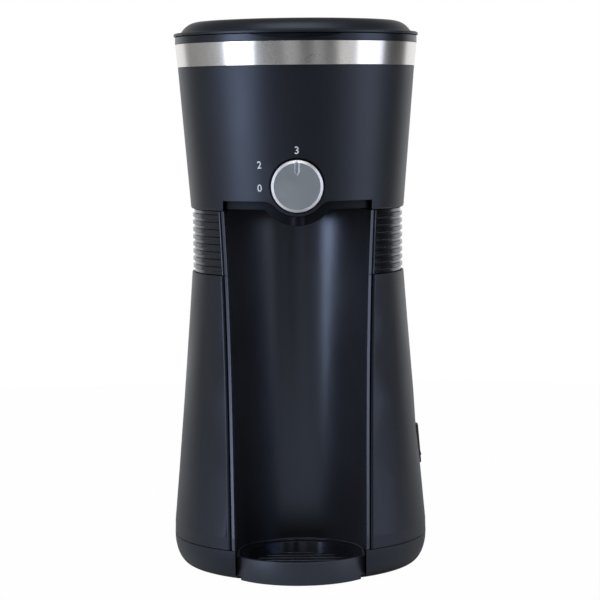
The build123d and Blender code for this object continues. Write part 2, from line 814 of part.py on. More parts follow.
with BuildPart() as top_rim:
    with BuildSketch(Plane.XZ):
        with BuildLine():
            Polyline(
                (RIM_NECK_RADIUS - RIM_NECK_WALL, RIM_NECK_BOTTOM),
                (RIM_NECK_RADIUS, RIM_NECK_BOTTOM),
                (RIM_NECK_RADIUS, HEAD_TOP + 0.1),
                (BAND_BOTTOM_RADIUS - BAND_THICKNESS - 0.1, HEAD_TOP + 0.1),
                (BAND_TOP_RADIUS - BAND_THICKNESS - 0.1, RIM_BOTTOM),
                (RIM_RADIUS, RIM_BOTTOM),
                (RIM_RADIUS, RIM_TOP),
                (RIM_BORE, RIM_TOP),
                (RIM_BORE, DECK_TOP),
                (RIM_NECK_RADIUS - RIM_NECK_WALL, DECK_TOP),
                close=True,
            )
        make_face()
    revolve(axis=Axis.Z)
    add(finger_scoop.part, mode=Mode.SUBTRACT)
    # deck with the basket opening, the fill opening and the riser's hole
    with BuildSketch(Plane.XY.offset(DECK_BOTTOM)):
        Circle(RIM_NECK_RADIUS - RIM_NECK_WALL / 2)
        with Locations((0, DRIP_Y)):
            Circle(BASKET_OPENING, mode=Mode.SUBTRACT)
        with Locations(RISER_TOP):
            Circle(TUBE_RADIUS + 0.2, mode=Mode.SUBTRACT)
        with BuildSketch(mode=Mode.PRIVATE) as fill_hole:
            Circle(FILL_RADIUS)
            with Locations((0, FILL_FRONT)):
                Rectangle(
                    2 * FILL_HALF_WIDTH,
                    60,
                    align=(Align.CENTER, Align.MIN),
                    mode=Mode.INTERSECT,
                )
            fillet(fill_hole.vertices(), radius=5)
        add(fill_hole.sketch, mode=Mode.SUBTRACT)
    extrude(amount=DECK_TOP - DECK_BOTTOM)
    # hinge ears
    with BuildSketch(Plane.YZ.offset(KNUCKLE_HALF + 0.4), Plane.YZ.offset(-EAR_OUTER)):
        with Locations((HINGE_Y, HINGE_Z)):
            Circle(EAR_RADIUS)
        with BuildLine():
            Polyline(
                (RIM_RADIUS - 2.5, RIM_BOTTOM + 0.2),
                (RIM_RADIUS - 2.5, RIM_TOP),
                (HINGE_Y, RIM_TOP),
                (HINGE_Y, HINGE_Z - EAR_RADIUS),
                close=True,
            )
        make_face()
        with Locations((HINGE_Y, HINGE_Z)):
            Circle(PIN_RADIUS, mode=Mode.SUBTRACT)
    extrude(amount=EAR_OUTER - KNUCKLE_HALF - 0.4)

top_rim.part.label = "top_rim"
export_step(top_rim.part, "parts/top_rim.step")

# Hinge pin

with BuildPart() as hinge_pin:
    with BuildSketch(Plane.YZ.offset(-EAR_OUTER)):
        with Locations((HINGE_Y, HINGE_Z)):
            Circle(PIN_RADIUS)
    extrude(amount=2 * EAR_OUTER)

hinge_pin.part.label = "hinge_pin"
export_step(hinge_pin.part, "parts/hinge_pin.step")

# Lid cover

with BuildPart() as lid_cover:
    with BuildSketch(Plane.XZ):
        with BuildLine():
            Polyline((0, LID_TOP), (DOME_FLAT, LID_TOP), (52.0, LID_TOP - 0.4))
            ThreePointArc((52.0, LID_TOP - 0.4), (58.6, LID_TOP - 2.0), (DOME_FOOT, 292.4))
            Polyline(
                (DOME_FOOT, 292.4),
                (DOME_FOOT + 0.7, LID_FLANGE_TOP + 0.3),
                (LID_FLANGE_RADIUS - 0.7, LID_FLANGE_TOP),
                (LID_FLANGE_RADIUS, LID_FLANGE_TOP - 0.5),
                (LID_FLANGE_RADIUS, LID_BOTTOM),
                (LINER_RADIUS + 0.2, LID_BOTTOM),
                (LINER_RADIUS + 0.2, 292.7),
            )
            ThreePointArc((LINER_RADIUS + 0.2, 292.7), (56.9, LID_TOP - 3.1), (51.3, LID_TOP - 2.3))
            Polyline((51.3, LID_TOP - 2.3), (DOME_FLAT, LID_TOP - 2), (0, LID_TOP - 2), (0, LID_TOP))
        make_face()
    revolve(axis=Axis.Z)
    # finger tab in front
    with BuildSketch(Plane.XY.offset(LID_BOTTOM)):
        Circle(LID_FLANGE_RADIUS + 1.1)
        Circle(LID_FLANGE_RADIUS - 1, mode=Mode.SUBTRACT)
        with Locations((0, -LID_FLANGE_RADIUS)):
            Rectangle(2 * TAB_HALF_WIDTH, 30, mode=Mode.INTERSECT)
    extrude(amount=LID_FLANGE_TOP - 0.4 - LID_BOTTOM)
    # hinge knuckle
    with BuildSketch(Plane.YZ):
        with Locations((HINGE_Y, HINGE_Z)):
            Circle(EAR_RADIUS - 0.2)
        with BuildLine():
            Polyline(
                (DOME_FOOT, LID_BOTTOM),
                (DOME_FOOT, LID_FLANGE_TOP),
                (HINGE_Y, HINGE_Z + EAR_RADIUS - 0.2),
                (HINGE_Y, LID_BOTTOM),
                close=True,
            )
        make_face()
    extrude(amount=KNUCKLE_HALF, both=True)
    with BuildSketch(Plane.YZ):
        with Locations((HINGE_Y, HINGE_Z)):
            Circle(PIN_BORE)
    extrude(amount=KNUCKLE_HALF, both=True, mode=Mode.SUBTRACT)

lid_cover.part.label = "lid_cover"
export_step(lid_cover.part, "parts/lid_cover.step")

# Lid liner

with BuildPart() as lid_liner:
    with BuildSketch(Plane.XZ):
        with BuildLine():
            Polyline(
                (0, LINER_TOP),
                (LINER_RADIUS, LINER_TOP),
                (LINER_RADIUS, GASKET_TOP),
                (LINER_RADIUS - 0.8, GASKET_TOP),
                (LINER_RADIUS - 0.8, GASKET_BOTTOM),
                (LINER_RADIUS, GASKET_BOTTOM),
                (LINER_RADIUS, LINER_BOTTOM),
                (LINER_RADIUS - 2, LINER_BOTTOM),
                (LINER_RADIUS - 2, LINER_TOP - 1.2),
                (0, LINER_TOP - 1.2),
                close=True,
            )
        make_face()
    revolve(axis=Axis.Z)

lid_liner.part.label = "lid_liner"
export_step(lid_liner.part, "parts/lid_liner.step")

# Lid gasket

with BuildPart() as lid_gasket:
    with BuildSketch(Plane.XZ):
        with BuildLine():
            Polyline(
                (LINER_RADIUS - 0.8, GASKET_BOTTOM),
                (LINER_RADIUS + 0.6, GASKET_BOTTOM),
                (GASKET_RADIUS, (GASKET_BOTTOM + GASKET_TOP) / 2),
                (LINER_RADIUS + 0.6, GASKET_TOP),
                (LINER_RADIUS - 0.8, GASKET_TOP),
                close=True,
            )
        make_face()
    revolve(axis=Axis.Z)

lid_gasket.part.label = "lid_gasket"
export_step(lid_gasket.part, "parts/lid_gasket.step")

# Knob: rim ring and hub, grey cap, and the pointer slot cut through both

with BuildPart() as pointer_slot:
    with BuildSketch(front_plane(KNOB_FRONT + POINTER_DEPTH)):
        with BuildLine():
            Polyline(
                (-POINTER_HALF_WIDTH, KNOB_HEIGHT + KNOB_RADIUS + 1),
                (POINTER_HALF_WIDTH, KNOB_HEIGHT + KNOB_RADIUS + 1),
                (POINTER_HALF_WIDTH, KNOB_HEIGHT + POINTER_SHOULDER),
                (0, KNOB_HEIGHT + POINTER_TIP),
                (-POINTER_HALF_WIDTH, KNOB_HEIGHT + POINTER_SHOULDER),
                close=True,
            )
        make_face()
    extrude(amount=POINTER_DEPTH + 0.2, taper=-45)

with BuildPart() as knob_body:
    with BuildSketch(KNOB_PLANE):
        with BuildLine():
            Polyline(
                (0, CAP_SEAT),
                (CAP_RADIUS, CAP_SEAT),
                (CAP_RADIUS, KNOB_FRONT),
                (CAP_RADIUS + 0.1, KNOB_FRONT),
                (KNOB_RADIUS, KNOB_FRONT + 1.4),
                (KNOB_RADIUS - 0.1, WELL_FLOOR - 0.6),
                (KNOB_RADIUS - 2.1, WELL_FLOOR - 0.6),
                (KNOB_RADIUS - 2.1, CAP_SEAT + 2.2),
                (HUB_RADIUS, CAP_SEAT + 2.2),
                (HUB_RADIUS, WELL_FLOOR - 0.3),
                (0, WELL_FLOOR - 0.3),
                close=True,
            )
        make_face()
    revolve(axis=KNOB_AXIS)
    with BuildSketch(front_plane(WELL_FLOOR - 0.3)):
        with Locations((0, KNOB_HEIGHT)):
            Circle(STEM_RADIUS)
            with Locations((0, -STEM_FLAT)):
                Rectangle(10, 5, align=(Align.CENTER, Align.MAX), mode=Mode.SUBTRACT)
    extrude(amount=STEM_GRIP, mode=Mode.SUBTRACT)
    add(pointer_slot.part, mode=Mode.SUBTRACT)

knob_body.part.label = "knob_body"
export_step(knob_body.part, "parts/knob_body.step")

with BuildPart() as knob_cap:
    with BuildSketch(front_plane(CAP_SEAT)):
        with Locations((0, KNOB_HEIGHT)):
            Circle(CAP_RADIUS)
    extrude(amount=CAP_THICKNESS)
    add(pointer_slot.part, mode=Mode.SUBTRACT)

knob_cap.part.label = "knob_cap"
export_step(knob_cap.part, "parts/knob_cap.step")

# Valve plug, turned by the knob

with BuildPart() as valve_plug:
    with BuildSketch(KNOB_PLANE):
        with BuildLine():
            Polyline(
                (0, WELL_FLOOR + 0.2),
                (STEM_HOLE - 0.3, WELL_FLOOR + 0.2),
                (STEM_HOLE - 0.3, BARREL_FRONT - 0.2),
                (PLUG_RADIUS, BARREL_FRONT - 0.2),
                (PLUG_RADIUS, PLUG_END),
                (0, PLUG_END),
                close=True,
            )
        make_face()
    revolve(axis=KNOB_AXIS)
    with BuildSketch(front_plane(WELL_FLOOR + 0.2)):
        with Locations((0, KNOB_HEIGHT)):
            Circle(STEM_RADIUS)
            with Locations((0, -STEM_FLAT)):
                Rectangle(10, 5, align=(Align.CENTER, Align.MAX), mode=Mode.SUBTRACT)
    extrude(amount=STEM_GRIP)
    # grooves for the two seals and the clip
    with BuildSketch(KNOB_PLANE):
        with Locations(*[(SEAL_SEAT, y) for y in SEAL_PLACES]):
            Rectangle(PLUG_RADIUS, SEAL_WIDTH, align=(Align.MIN, Align.CENTER))
        with Locations((SEAL_SEAT, CLIP_PLACE)):
            Rectangle(PLUG_RADIUS, CLIP_WIDTH + 0.1, align=(Align.MIN, Align.CENTER))
    revolve(axis=KNOB_AXIS, mode=Mode.SUBTRACT)
    # cross hole, upright at rest
    with Locations((0, DRIP_Y, KNOB_HEIGHT)):
        Cylinder(DRIP_BORE, 4 * PLUG_RADIUS, mode=Mode.SUBTRACT)

valve_plug.part.label = "valve_plug"
export_step(valve_plug.part, "parts/valve_plug.step")

# Plug seals

with BuildPart() as plug_seals:
    with BuildSketch(KNOB_PLANE):
        with Locations(*[((SEAL_SEAT + SEAL_OUTER) / 2, y) for y in SEAL_PLACES]):
            Circle((SEAL_OUTER - SEAL_SEAT) / 2)
    revolve(axis=KNOB_AXIS)

plug_seals.part.label = "plug_seals"
export_step(plug_seals.part, "parts/plug_seals.step")

# Plug clip

with BuildPart() as plug_clip:
    with BuildSketch(front_plane(CLIP_PLACE + CLIP_WIDTH / 2)):
        with Locations((0, KNOB_HEIGHT)):
            Circle(CLIP_RADIUS)
            Circle(SEAL_SEAT, mode=Mode.SUBTRACT)
            with Locations((0, -CLIP_RADIUS)):
                Rectangle(4.4, 2 * CLIP_RADIUS - 4, mode=Mode.SUBTRACT)
    extrude(amount=CLIP_WIDTH)

plug_clip.part.label = "plug_clip"
export_step(plug_clip.part, "parts/plug_clip.step")

# Drip valve body

with BuildPart() as valve_body:
    with BuildSketch(front_plane(BARREL_BACK)):
        with Locations((0, KNOB_HEIGHT)):
            Circle(BARREL_RADIUS)
    extrude(amount=BARREL_BACK - BARREL_FRONT)
    with BuildSketch(front_plane(BARREL_FRONT + VALVE_FLANGE)):
        with Locations((0, KNOB_HEIGHT)):
            Circle(VALVE_FLANGE_RADIUS)
    extrude(amount=VALVE_FLANGE)
    # inlet socket above, outlet socket below
    with BuildSketch(Plane.XY.offset(KNOB_HEIGHT)):
        with Locations((0, DRIP_Y)):
            Circle(INLET_RADIUS)
    extrude(amount=INLET_TOP - KNOB_HEIGHT)
    with BuildSketch(Plane.XY.offset(OUTLET_BOTTOM)):
        with Locations((0, DRIP_Y)):
            Circle(OUTLET_RADIUS)
    extrude(amount=KNOB_HEIGHT - OUTLET_BOTTOM)
    # bores
    with BuildSketch(front_plane(BARREL_BACK)):
        with Locations((0, KNOB_HEIGHT)):
            Circle(BARREL_BORE)
    extrude(amount=BARREL_BACK - BARREL_FRONT, mode=Mode.SUBTRACT)
    with BuildSketch(Plane.XY.offset(OUTLET_BOTTOM)):
        with Locations((0, DRIP_Y)):
            Circle(DRIP_BORE)
    extrude(amount=INLET_TOP - OUTLET_BOTTOM, mode=Mode.SUBTRACT)
    with BuildSketch(Plane.XY.offset(INLET_TOP)):
        with Locations((0, DRIP_Y)):
            Circle(NECK_RADIUS + 0.1)
    extrude(amount=-NECK_DEPTH, mode=Mode.SUBTRACT)
    with BuildSketch(Plane.XY.offset(OUTLET_BOTTOM)):
        with Locations((0, DRIP_Y)):
            Circle(NOZZLE_RADIUS)
    extrude(amount=NOZZLE_GRIP, mode=Mode.SUBTRACT)
    with BuildSketch(front_plane(BARREL_FRONT)):
        with Locations((VALVE_SCREW_X, KNOB_HEIGHT), (-VALVE_SCREW_X, KNOB_HEIGHT)):
            Circle(VALVE_SCREW_RADIUS)
    extrude(amount=-VALVE_FLANGE, mode=Mode.SUBTRACT)

valve_body.part.label = "valve_body"
export_step(valve_body.part, "parts/valve_body.step")

# Valve screws

with BuildPart() as valve_screws:
    with BuildSketch(front_plane(BARREL_FRONT + VALVE_FLANGE)):
        with Locations((VALVE_SCREW_X, KNOB_HEIGHT), (-VALVE_SCREW_X, KNOB_HEIGHT)):
            Circle(VALVE_SCREW_RADIUS)
    extrude(amount=VALVE_FLANGE + VALVE_SCREW_BITE)
    with BuildSketch(front_plane(BARREL_FRONT + VALVE_FLANGE)):
        with Locations((VALVE_SCREW_X, KNOB_HEIGHT), (-VALVE_SCREW_X, KNOB_HEIGHT)):
            Circle(VALVE_SCREW_HEAD)
    extrude(amount=-1.6)

valve_screws.part.label = "valve_screws"
export_step(valve_screws.part, "parts/valve_screws.step")

# Drip nozzle

with BuildPart() as drip_nozzle:
    with BuildSketch(DRIP_PLANE):
        with BuildLine():
            Polyline(
                (DRIP_BORE, NOZZLE_BOTTOM),
                (NOZZLE_RADIUS - 1.2, NOZZLE_BOTTOM),
                (NOZZLE_RADIUS, NOZZLE_BOTTOM + 2),
                (NOZZLE_RADIUS, OUTLET_BOTTOM + NOZZLE_GRIP),
                (DRIP_BORE, OUTLET_BOTTOM + NOZZLE_GRIP),
                close=True,
            )
        make_face()
    revolve(axis=DRIP_AXIS)

drip_nozzle.part.label = "drip_nozzle"
export_step(drip_nozzle.part, "parts/drip_nozzle.step")

# Brew basket

with BuildPart() as brew_basket:
    with BuildSketch(DRIP_PLANE):
        with BuildLine():
            Polyline(
                (DRIP_BORE, NECK_BOTTOM),
                (NECK_RADIUS, NECK_BOTTOM),
                (NECK_RADIUS, NECK_TOP),
                (BASKET_LOW_RADIUS, BASKET_LOW),
                (BASKET_TOP_RADIUS, DECK_TOP),
                (BASKET_FLANGE_RADIUS, DECK_TOP),
                (BASKET_FLANGE_RADIUS, DECK_TOP + BASKET_WALL),
                (BASKET_TOP_RADIUS - BASKET_WALL, DECK_TOP + BASKET_WALL),
                (BASKET_LOW_RADIUS - BASKET_WALL, BASKET_LOW + BASKET_WALL),
                (DRIP_BORE, NECK_TOP + BASKET_WALL),
                close=True,
            )
        make_face()
    revolve(axis=DRIP_AXIS)

brew_basket.part.label = "brew_basket"
export_step(brew_basket.part, "parts/brew_basket.step")

# Filter: frame with eight windows, and the mesh cup inside it

with BuildPart() as filter_frame:
    with BuildSketch(DRIP_PLANE):
        with BuildLine():
            Polyline(
                (FILTER_LOW_RADIUS, FILTER_LOW),
                (FILTER_LOW_RADIUS + FRAME_WALL, FILTER_LOW),
                (FILTER_TOP_RADIUS + FRAME_WALL, FRAME_TOP),
                (FILTER_FLANGE_RADIUS, FRAME_TOP),
                (FILTER_FLANGE_RADIUS, FRAME_TOP + 1),
                (FILTER_TOP_RADIUS, FRAME_TOP + 1),
                close=True,
            )
        make_face()
    revolve(axis=DRIP_AXIS)
    with Locations((0, DRIP_Y, 0)):
        with PolarLocations(FILTER_TOP_RADIUS, 8):
            with Locations((0, 0, (FILTER_LOW + FRAME_TOP) / 2)):
                Box(16, WINDOW_WIDTH, FRAME_TOP - FILTER_LOW - 8, mode=Mode.SUBTRACT)

filter_frame.part.label = "filter_frame"
export_step(filter_frame.part, "parts/filter_frame.step")

with BuildPart() as filter_mesh:
    with BuildSketch(DRIP_PLANE):
        with BuildLine():
            Polyline(
                (0, FILTER_LOW),
                (FILTER_LOW_RADIUS, FILTER_LOW),
                (FILTER_TOP_RADIUS, FRAME_TOP + 1),
                (FILTER_TOP_RADIUS - MESH, FRAME_TOP + 1),
                (FILTER_LOW_RADIUS - MESH, FILTER_LOW + MESH),
                (0, FILTER_LOW + MESH),
                close=True,
            )
        make_face()
    revolve(axis=DRIP_AXIS)

filter_mesh.part.label = "filter_mesh"
export_step(filter_mesh.part, "parts/filter_mesh.step")

# Water tank behind the basket, with its outlet spigot


def tank_solid(inset, bottom, top):
    """The tank's flared D form between two heights, drawn in by an inset."""
    with BuildPart() as solid:
        for height, radius in ((bottom, TANK_LOW_RADIUS), (top, TANK_TOP_RADIUS)):
            with BuildSketch(Plane.XY.offset(height)) as section:
                Circle(radius - inset)
                with Locations((0, TANK_FRONT + inset)):
                    Rectangle(140, 80, align=(Align.CENTER, Align.MIN), mode=Mode.INTERSECT)
                fillet(section.vertices(), radius=8 - inset)
        loft()
    return solid.part


with BuildPart() as water_tank:
    add(tank_solid(0, TANK_BOTTOM, TANK_TOP))
    add(tank_solid(TANK_WALL, TANK_BOTTOM + TANK_WALL, TANK_TOP + 1), mode=Mode.SUBTRACT)
    with BuildSketch(Plane.XY.offset(TANK_BOTTOM)):
        with Locations(COLD_POINT):
            Circle(TUBE_RADIUS)
    extrude(amount=-SPIGOT)
    with BuildSketch(Plane.XY.offset(TANK_BOTTOM + TANK_WALL)):
        with Locations(COLD_POINT):
            Circle(TUBE_BORE)
    extrude(amount=-SPIGOT - TANK_WALL, mode=Mode.SUBTRACT)

water_tank.part.label = "water_tank"
export_step(water_tank.part, "parts/water_tank.step")

# Check valve body and its duckbill

COLD_PLANE = Plane(origin=(*COLD_POINT, 0), x_dir=(1, 0, 0), z_dir=(0, -1, 0))
COLD_AXIS = Axis((*COLD_POINT, 0), (0, 0, 1))

with BuildPart() as check_valve:
    with BuildSketch(COLD_PLANE):
        with BuildLine():
            Polyline(
                (TUBE_BORE, CHECK_LOW - 8),
                (TUBE_RADIUS, CHECK_LOW - 8),
                (TUBE_RADIUS, CHECK_LOW),
                (CHECK_RADIUS, CHECK_LOW),
                (CHECK_RADIUS, TANK_BOTTOM - SPIGOT),
                (TUBE_RADIUS + 1.6, TANK_BOTTOM - SPIGOT),
                (TUBE_RADIUS + 1.6, TANK_BOTTOM - 4),
                (TUBE_RADIUS, TANK_BOTTOM - 4),
                (TUBE_RADIUS, DUCKBILL_TOP),
                (CHECK_RADIUS - 1.6, DUCKBILL_TOP),
                (CHECK_RADIUS - 1.6, CHECK_LOW + 3),
                (TUBE_BORE, CHECK_LOW + 3),
                close=True,
            )
        make_face()
    revolve(axis=COLD_AXIS)

check_valve.part.label = "check_valve"
export_step(check_valve.part, "parts/check_valve.step")

with BuildPart() as duckbill:
    with BuildSketch(COLD_PLANE):
        with BuildLine():
            Polyline(
                (0.3, DUCKBILL_TOP - 9),
                (1.1, DUCKBILL_TOP - 9),
                (TUBE_RADIUS - 0.3, DUCKBILL_TOP - 2),
                (CHECK_RADIUS - 1.7, DUCKBILL_TOP - 2),
                (CHECK_RADIUS - 1.7, DUCKBILL_TOP),
                (TUBE_BORE, DUCKBILL_TOP),
                (TUBE_BORE, DUCKBILL_TOP - 1.6),
                close=True,
            )
        make_face()
    revolve(axis=COLD_AXIS)

duckbill.part.label = "duckbill"
export_step(duckbill.part, "parts/duckbill.step")

# Hoses

with BuildPart() as cold_hose:
    with BuildSketch(Plane.XY.offset(HOSE_LOW)):
        with Locations(COLD_POINT):
            Circle(HOSE_RADIUS)
            Circle(TUBE_RADIUS, mode=Mode.SUBTRACT)
    extrude(amount=CHECK_LOW - 1 - HOSE_LOW)

cold_hose.part.label = "cold_hose"
export_step(cold_hose.part, "parts/cold_hose.step")

with BuildPart() as riser_hose:
    with BuildLine():
        FilletPolyline(
            (*HOT_POINT, HOSE_LOW),
            (*HOT_POINT, RISER_LEAVES),
            (*RISER_TOP, RISER_ARRIVES),
            (*RISER_TOP, HOSE_HIGH),
            radius=RISER_BEND,
        )
    with BuildSketch(Plane.XY.offset(HOSE_LOW)):
        with Locations(HOT_POINT):
            Circle(HOSE_RADIUS)
            Circle(TUBE_RADIUS, mode=Mode.SUBTRACT)
    sweep()

riser_hose.part.label = "riser_hose"
export_step(riser_hose.part, "parts/riser_hose.step")

# Hose clips: spring bands with two ears

with BuildPart() as hose_clips:
    for (x, y), height in CLIP_SITES:
        with BuildSketch(Plane.XY.offset(height)):
            with Locations((x, y)):
                Circle(HOSE_RADIUS + 0.8)
            with Locations((x - 1.6, y), (x + 1.6, y)):
                Rectangle(0.8, HOSE_RADIUS + 4, align=(Align.CENTER, Align.MAX))
            with Locations((x, y)):
                Circle(HOSE_RADIUS, mode=Mode.SUBTRACT)
        extrude(amount=CLIP_BAND)

hose_clips.part.label = "hose_clips"
export_step(hose_clips.part, "parts/hose_clips.step")

# Heater: aluminium horseshoe with a water tube above and the element below


def horseshoe(height, end):
    """The bend's centre line at a height, from one leg end to the other."""
    Line((-HEATER_BEND, end, height), (-HEATER_BEND, HEATER_CENTRE, height))
    ThreePointArc(
        (-HEATER_BEND, HEATER_CENTRE, height),
        (0, HEATER_CENTRE - HEATER_BEND, height),
        (HEATER_BEND, HEATER_CENTRE, height),
    )
    Line((HEATER_BEND, HEATER_CENTRE, height), (HEATER_BEND, end, height))


with BuildPart() as heater_block:
    with BuildLine():
        horseshoe(HEATER_LOW, HEATER_LEG_END)
    with BuildSketch(front_plane(HEATER_LEG_END)):
        with Locations((-HEATER_BEND, (HEATER_LOW + HEATER_TOP) / 2)):
            RectangleRounded(HEATER_WIDTH, HEATER_TOP - HEATER_LOW, 2.5)
        with Locations((-HEATER_BEND, WATER_TUBE_Z), (-HEATER_BEND, ELEMENT_Z)):
            Circle(TUBE_RADIUS, mode=Mode.SUBTRACT)
    sweep()

heater_block.part.label = "heater_block"
export_step(heater_block.part, "parts/heater_block.step")

with BuildPart() as heater_tube:
    with BuildLine():
        for side in (-1, 1):
            x = side * HEATER_BEND
            Line((x, HOT_POINT[1], STUB_TOP), (x, HOT_POINT[1], WATER_TUBE_Z + STUB_BEND))
            ThreePointArc(
                (x, HOT_POINT[1], WATER_TUBE_Z + STUB_BEND),
                (
                    x,
                    HEATER_LEG_END + STUB_BEND * cos(radians(45)),
                    WATER_TUBE_Z + STUB_BEND * (1 - sin(radians(45))),
                ),
                (x, HEATER_LEG_END, WATER_TUBE_Z),
            )
        horseshoe(WATER_TUBE_Z, HEATER_LEG_END)
    with BuildSketch(Plane.XY.offset(STUB_TOP)):
        with Locations(COLD_POINT):
            Circle(TUBE_RADIUS)
            Circle(TUBE_BORE, mode=Mode.SUBTRACT)
    sweep()

heater_tube.part.label = "heater_tube"
export_step(heater_tube.part, "parts/heater_tube.step")

with BuildPart() as heater_element:
    with BuildLine():
        horseshoe(ELEMENT_Z, HEATER_LEG_END + 5)
    with BuildSketch(front_plane(HEATER_LEG_END + 5)):
        with Locations((-HEATER_BEND, ELEMENT_Z)):
            Circle(TUBE_RADIUS)
    sweep()
    with BuildSketch(front_plane(HEATER_LEG_END + 5)):
        with Locations((-HEATER_BEND, ELEMENT_Z), (HEATER_BEND, ELEMENT_Z)):
            Circle(1.5)
    extrude(amount=-8)

heater_element.part.label = "heater_element"
export_step(heater_element.part, "parts/heater_element.step")

# Heater strap and its screw

with BuildPart() as heater_strap:
    with BuildSketch(Plane.XY.offset(HEATER_TOP)):
        with Locations((0, STRAP_Y)):
            RectangleRounded(2 * HEATER_BEND + HEATER_WIDTH, STRAP_WIDTH, 2)
            Circle(SCREW_RADIUS + 0.2, mode=Mode.SUBTRACT)
    extrude(amount=STRAP_THICKNESS)

heater_strap.part.label = "heater_strap"
export_step(heater_strap.part, "parts/heater_strap.step")

with BuildPart() as strap_screw:
    with Locations((0, STRAP_Y, HEATER_TOP + STRAP_THICKNESS)):
        Cylinder(SCREW_HEAD_RADIUS, SCREW_HEAD, align=(Align.CENTER, Align.CENTER, Align.MIN))
        Cylinder(
            SCREW_RADIUS,
            STRAP_SHANK + STRAP_THICKNESS - 1,
            align=(Align.CENTER, Align.CENTER, Align.MAX),
        )

strap_screw.part.label = "strap_screw"
export_step(strap_screw.part, "parts/strap_screw.step")

# Thermostat on the bend, and the thermal fuse beside it

with BuildPart() as thermostat:
    with Locations((0, THERMOSTAT_Y, HEATER_TOP)):
        Cylinder(7.0, 3.0, align=(Align.CENTER, Align.CENTER, Align.MIN))
        Cylinder(5.5, 7.0, align=(Align.CENTER, Align.CENTER, Align.MIN))
    with Locations((3.2, THERMOSTAT_Y, HEATER_TOP + 7), (-3.2, THERMOSTAT_Y, HEATER_TOP + 7)):
        Box(0.8, 4.8, 6.0, align=(Align.CENTER, Align.CENTER, Align.MIN))

thermostat.part.label = "thermostat"
export_step(thermostat.part, "parts/thermostat.step")

fuse_plane = Plane(
    origin=(
        -HEATER_BEND * cos(radians(45)),
        HEATER_CENTRE - HEATER_BEND * sin(radians(45)),
        HEATER_TOP + FUSE_RADIUS,
    ),
    z_dir=(1, -1, 0),
)

with BuildPart() as thermal_fuse:
    with BuildSketch(fuse_plane):
        Circle(FUSE_RADIUS)
    extrude(amount=5, both=True)
    with BuildSketch(fuse_plane):
        Circle(0.5)
    extrude(amount=9, both=True)

thermal_fuse.part.label = "thermal_fuse"
export_step(thermal_fuse.part, "parts/thermal_fuse.step")

# Water spout over the filter

with BuildPart() as water_spout:
    reach = hypot(RISER_TOP[0], RISER_TOP[1] - DRIP_Y)
    heading = degrees(atan2(RISER_TOP[1] - DRIP_Y, RISER_TOP[0]))
    arm = Location((RISER_TOP[0] / 2, (RISER_TOP[1] + DRIP_Y) / 2, 0), (0, 0, heading))
    with BuildSketch(Plane.XY.offset(SPOUT_LOW)):
        with Locations(arm):
            SlotCenterToCenter(reach, SPOUT_WIDTH)
    extrude(amount=SPOUT_HEIGHT)
    with BuildSketch(Plane.XY.offset(HOSE_HIGH - 6)):
        with Locations(RISER_TOP):
            Circle(TUBE_RADIUS)
    extrude(amount=SPOUT_LOW - HOSE_HIGH + 6)
    # channel along the arm, bore of the pipe and four outlets
    with BuildSketch(Plane.XY.offset(SPOUT_LOW + 1.1)):
        with Locations(arm):
            SlotCenterToCenter(reach, SPOUT_WIDTH - 3)
    extrude(amount=SPOUT_HEIGHT - 2.2, mode=Mode.SUBTRACT)
    with BuildSketch(Plane.XY.offset(HOSE_HIGH - 6)):
        with Locations(RISER_TOP):
            Circle(TUBE_BORE)
    extrude(amount=SPOUT_LOW - HOSE_HIGH + 8, mode=Mode.SUBTRACT)
    with BuildSketch(Plane.XY.offset(SPOUT_LOW)):
        with Locations((0, DRIP_Y)):
            with PolarLocations(2.0, 4):
                Circle(0.7)
    extrude(amount=1.5, mode=Mode.SUBTRACT)

water_spout.part.label = "water_spout"
export_step(water_spout.part, "parts/water_spout.step")

# Rocker switch

with BuildPart() as switch_body:
    with BuildSketch(switch_plane.offset(BEZEL_TOP - BEZEL_THICKNESS)):
        RectangleRounded(BEZEL_WIDTH, BEZEL_HEIGHT, 1.5)
    extrude(amount=BEZEL_THICKNESS)
    with BuildSketch(switch_plane.offset(-SWITCH_DEPTH)):
        Rectangle(SWITCH_BODY_WIDTH, SWITCH_BODY_HEIGHT)
    extrude(amount=SWITCH_DEPTH + BEZEL_TOP - BEZEL_THICKNESS)
    with BuildSketch(switch_plane.offset(2 - SWITCH_DEPTH)):
        Rectangle(ROCKER_WIDTH + 0.3, 2 * ROCKER_REACH + 0.4)
    extrude(amount=SWITCH_DEPTH + 2, mode=Mode.SUBTRACT)
    with BuildSketch(pivot_plane):
        Circle(TRUNNION_RADIUS + 0.05)
    extrude(amount=ROCKER_WIDTH / 2 + 0.6, both=True, mode=Mode.SUBTRACT)

switch_body.part.label = "switch_body"
export_step(switch_body.part, "parts/switch_body.step")

with BuildPart() as rocker:
    with BuildSketch(pivot_plane):
        Circle(ROCKER_REACH)
        with BuildLine():
            Polyline(
                (-12, ROCKER_FACE + 12 * sin(radians(ROCKER_TRAVEL))),
                (0, ROCKER_FACE),
                (12, ROCKER_FACE),
                (12, -3),
                (-12, -3),
                close=True,
            )
        make_face(mode=Mode.INTERSECT)
    extrude(amount=ROCKER_WIDTH / 2, both=True)
    with BuildSketch(pivot_plane):
        Circle(TRUNNION_RADIUS)
    extrude(amount=ROCKER_WIDTH / 2 + 0.5, both=True)

rocker.part.label = "rocker"
export_step(rocker.part, "parts/rocker.step")

with BuildPart() as switch_terminals:
    with BuildSketch(switch_plane.offset(-SWITCH_DEPTH)):
        with GridLocations(0, 6, 1, 3):
            Rectangle(4.8, 0.8)
    extrude(amount=-8)

switch_terminals.part.label = "switch_terminals"
export_step(switch_terminals.part, "parts/switch_terminals.step")

# Cord bush at the rear

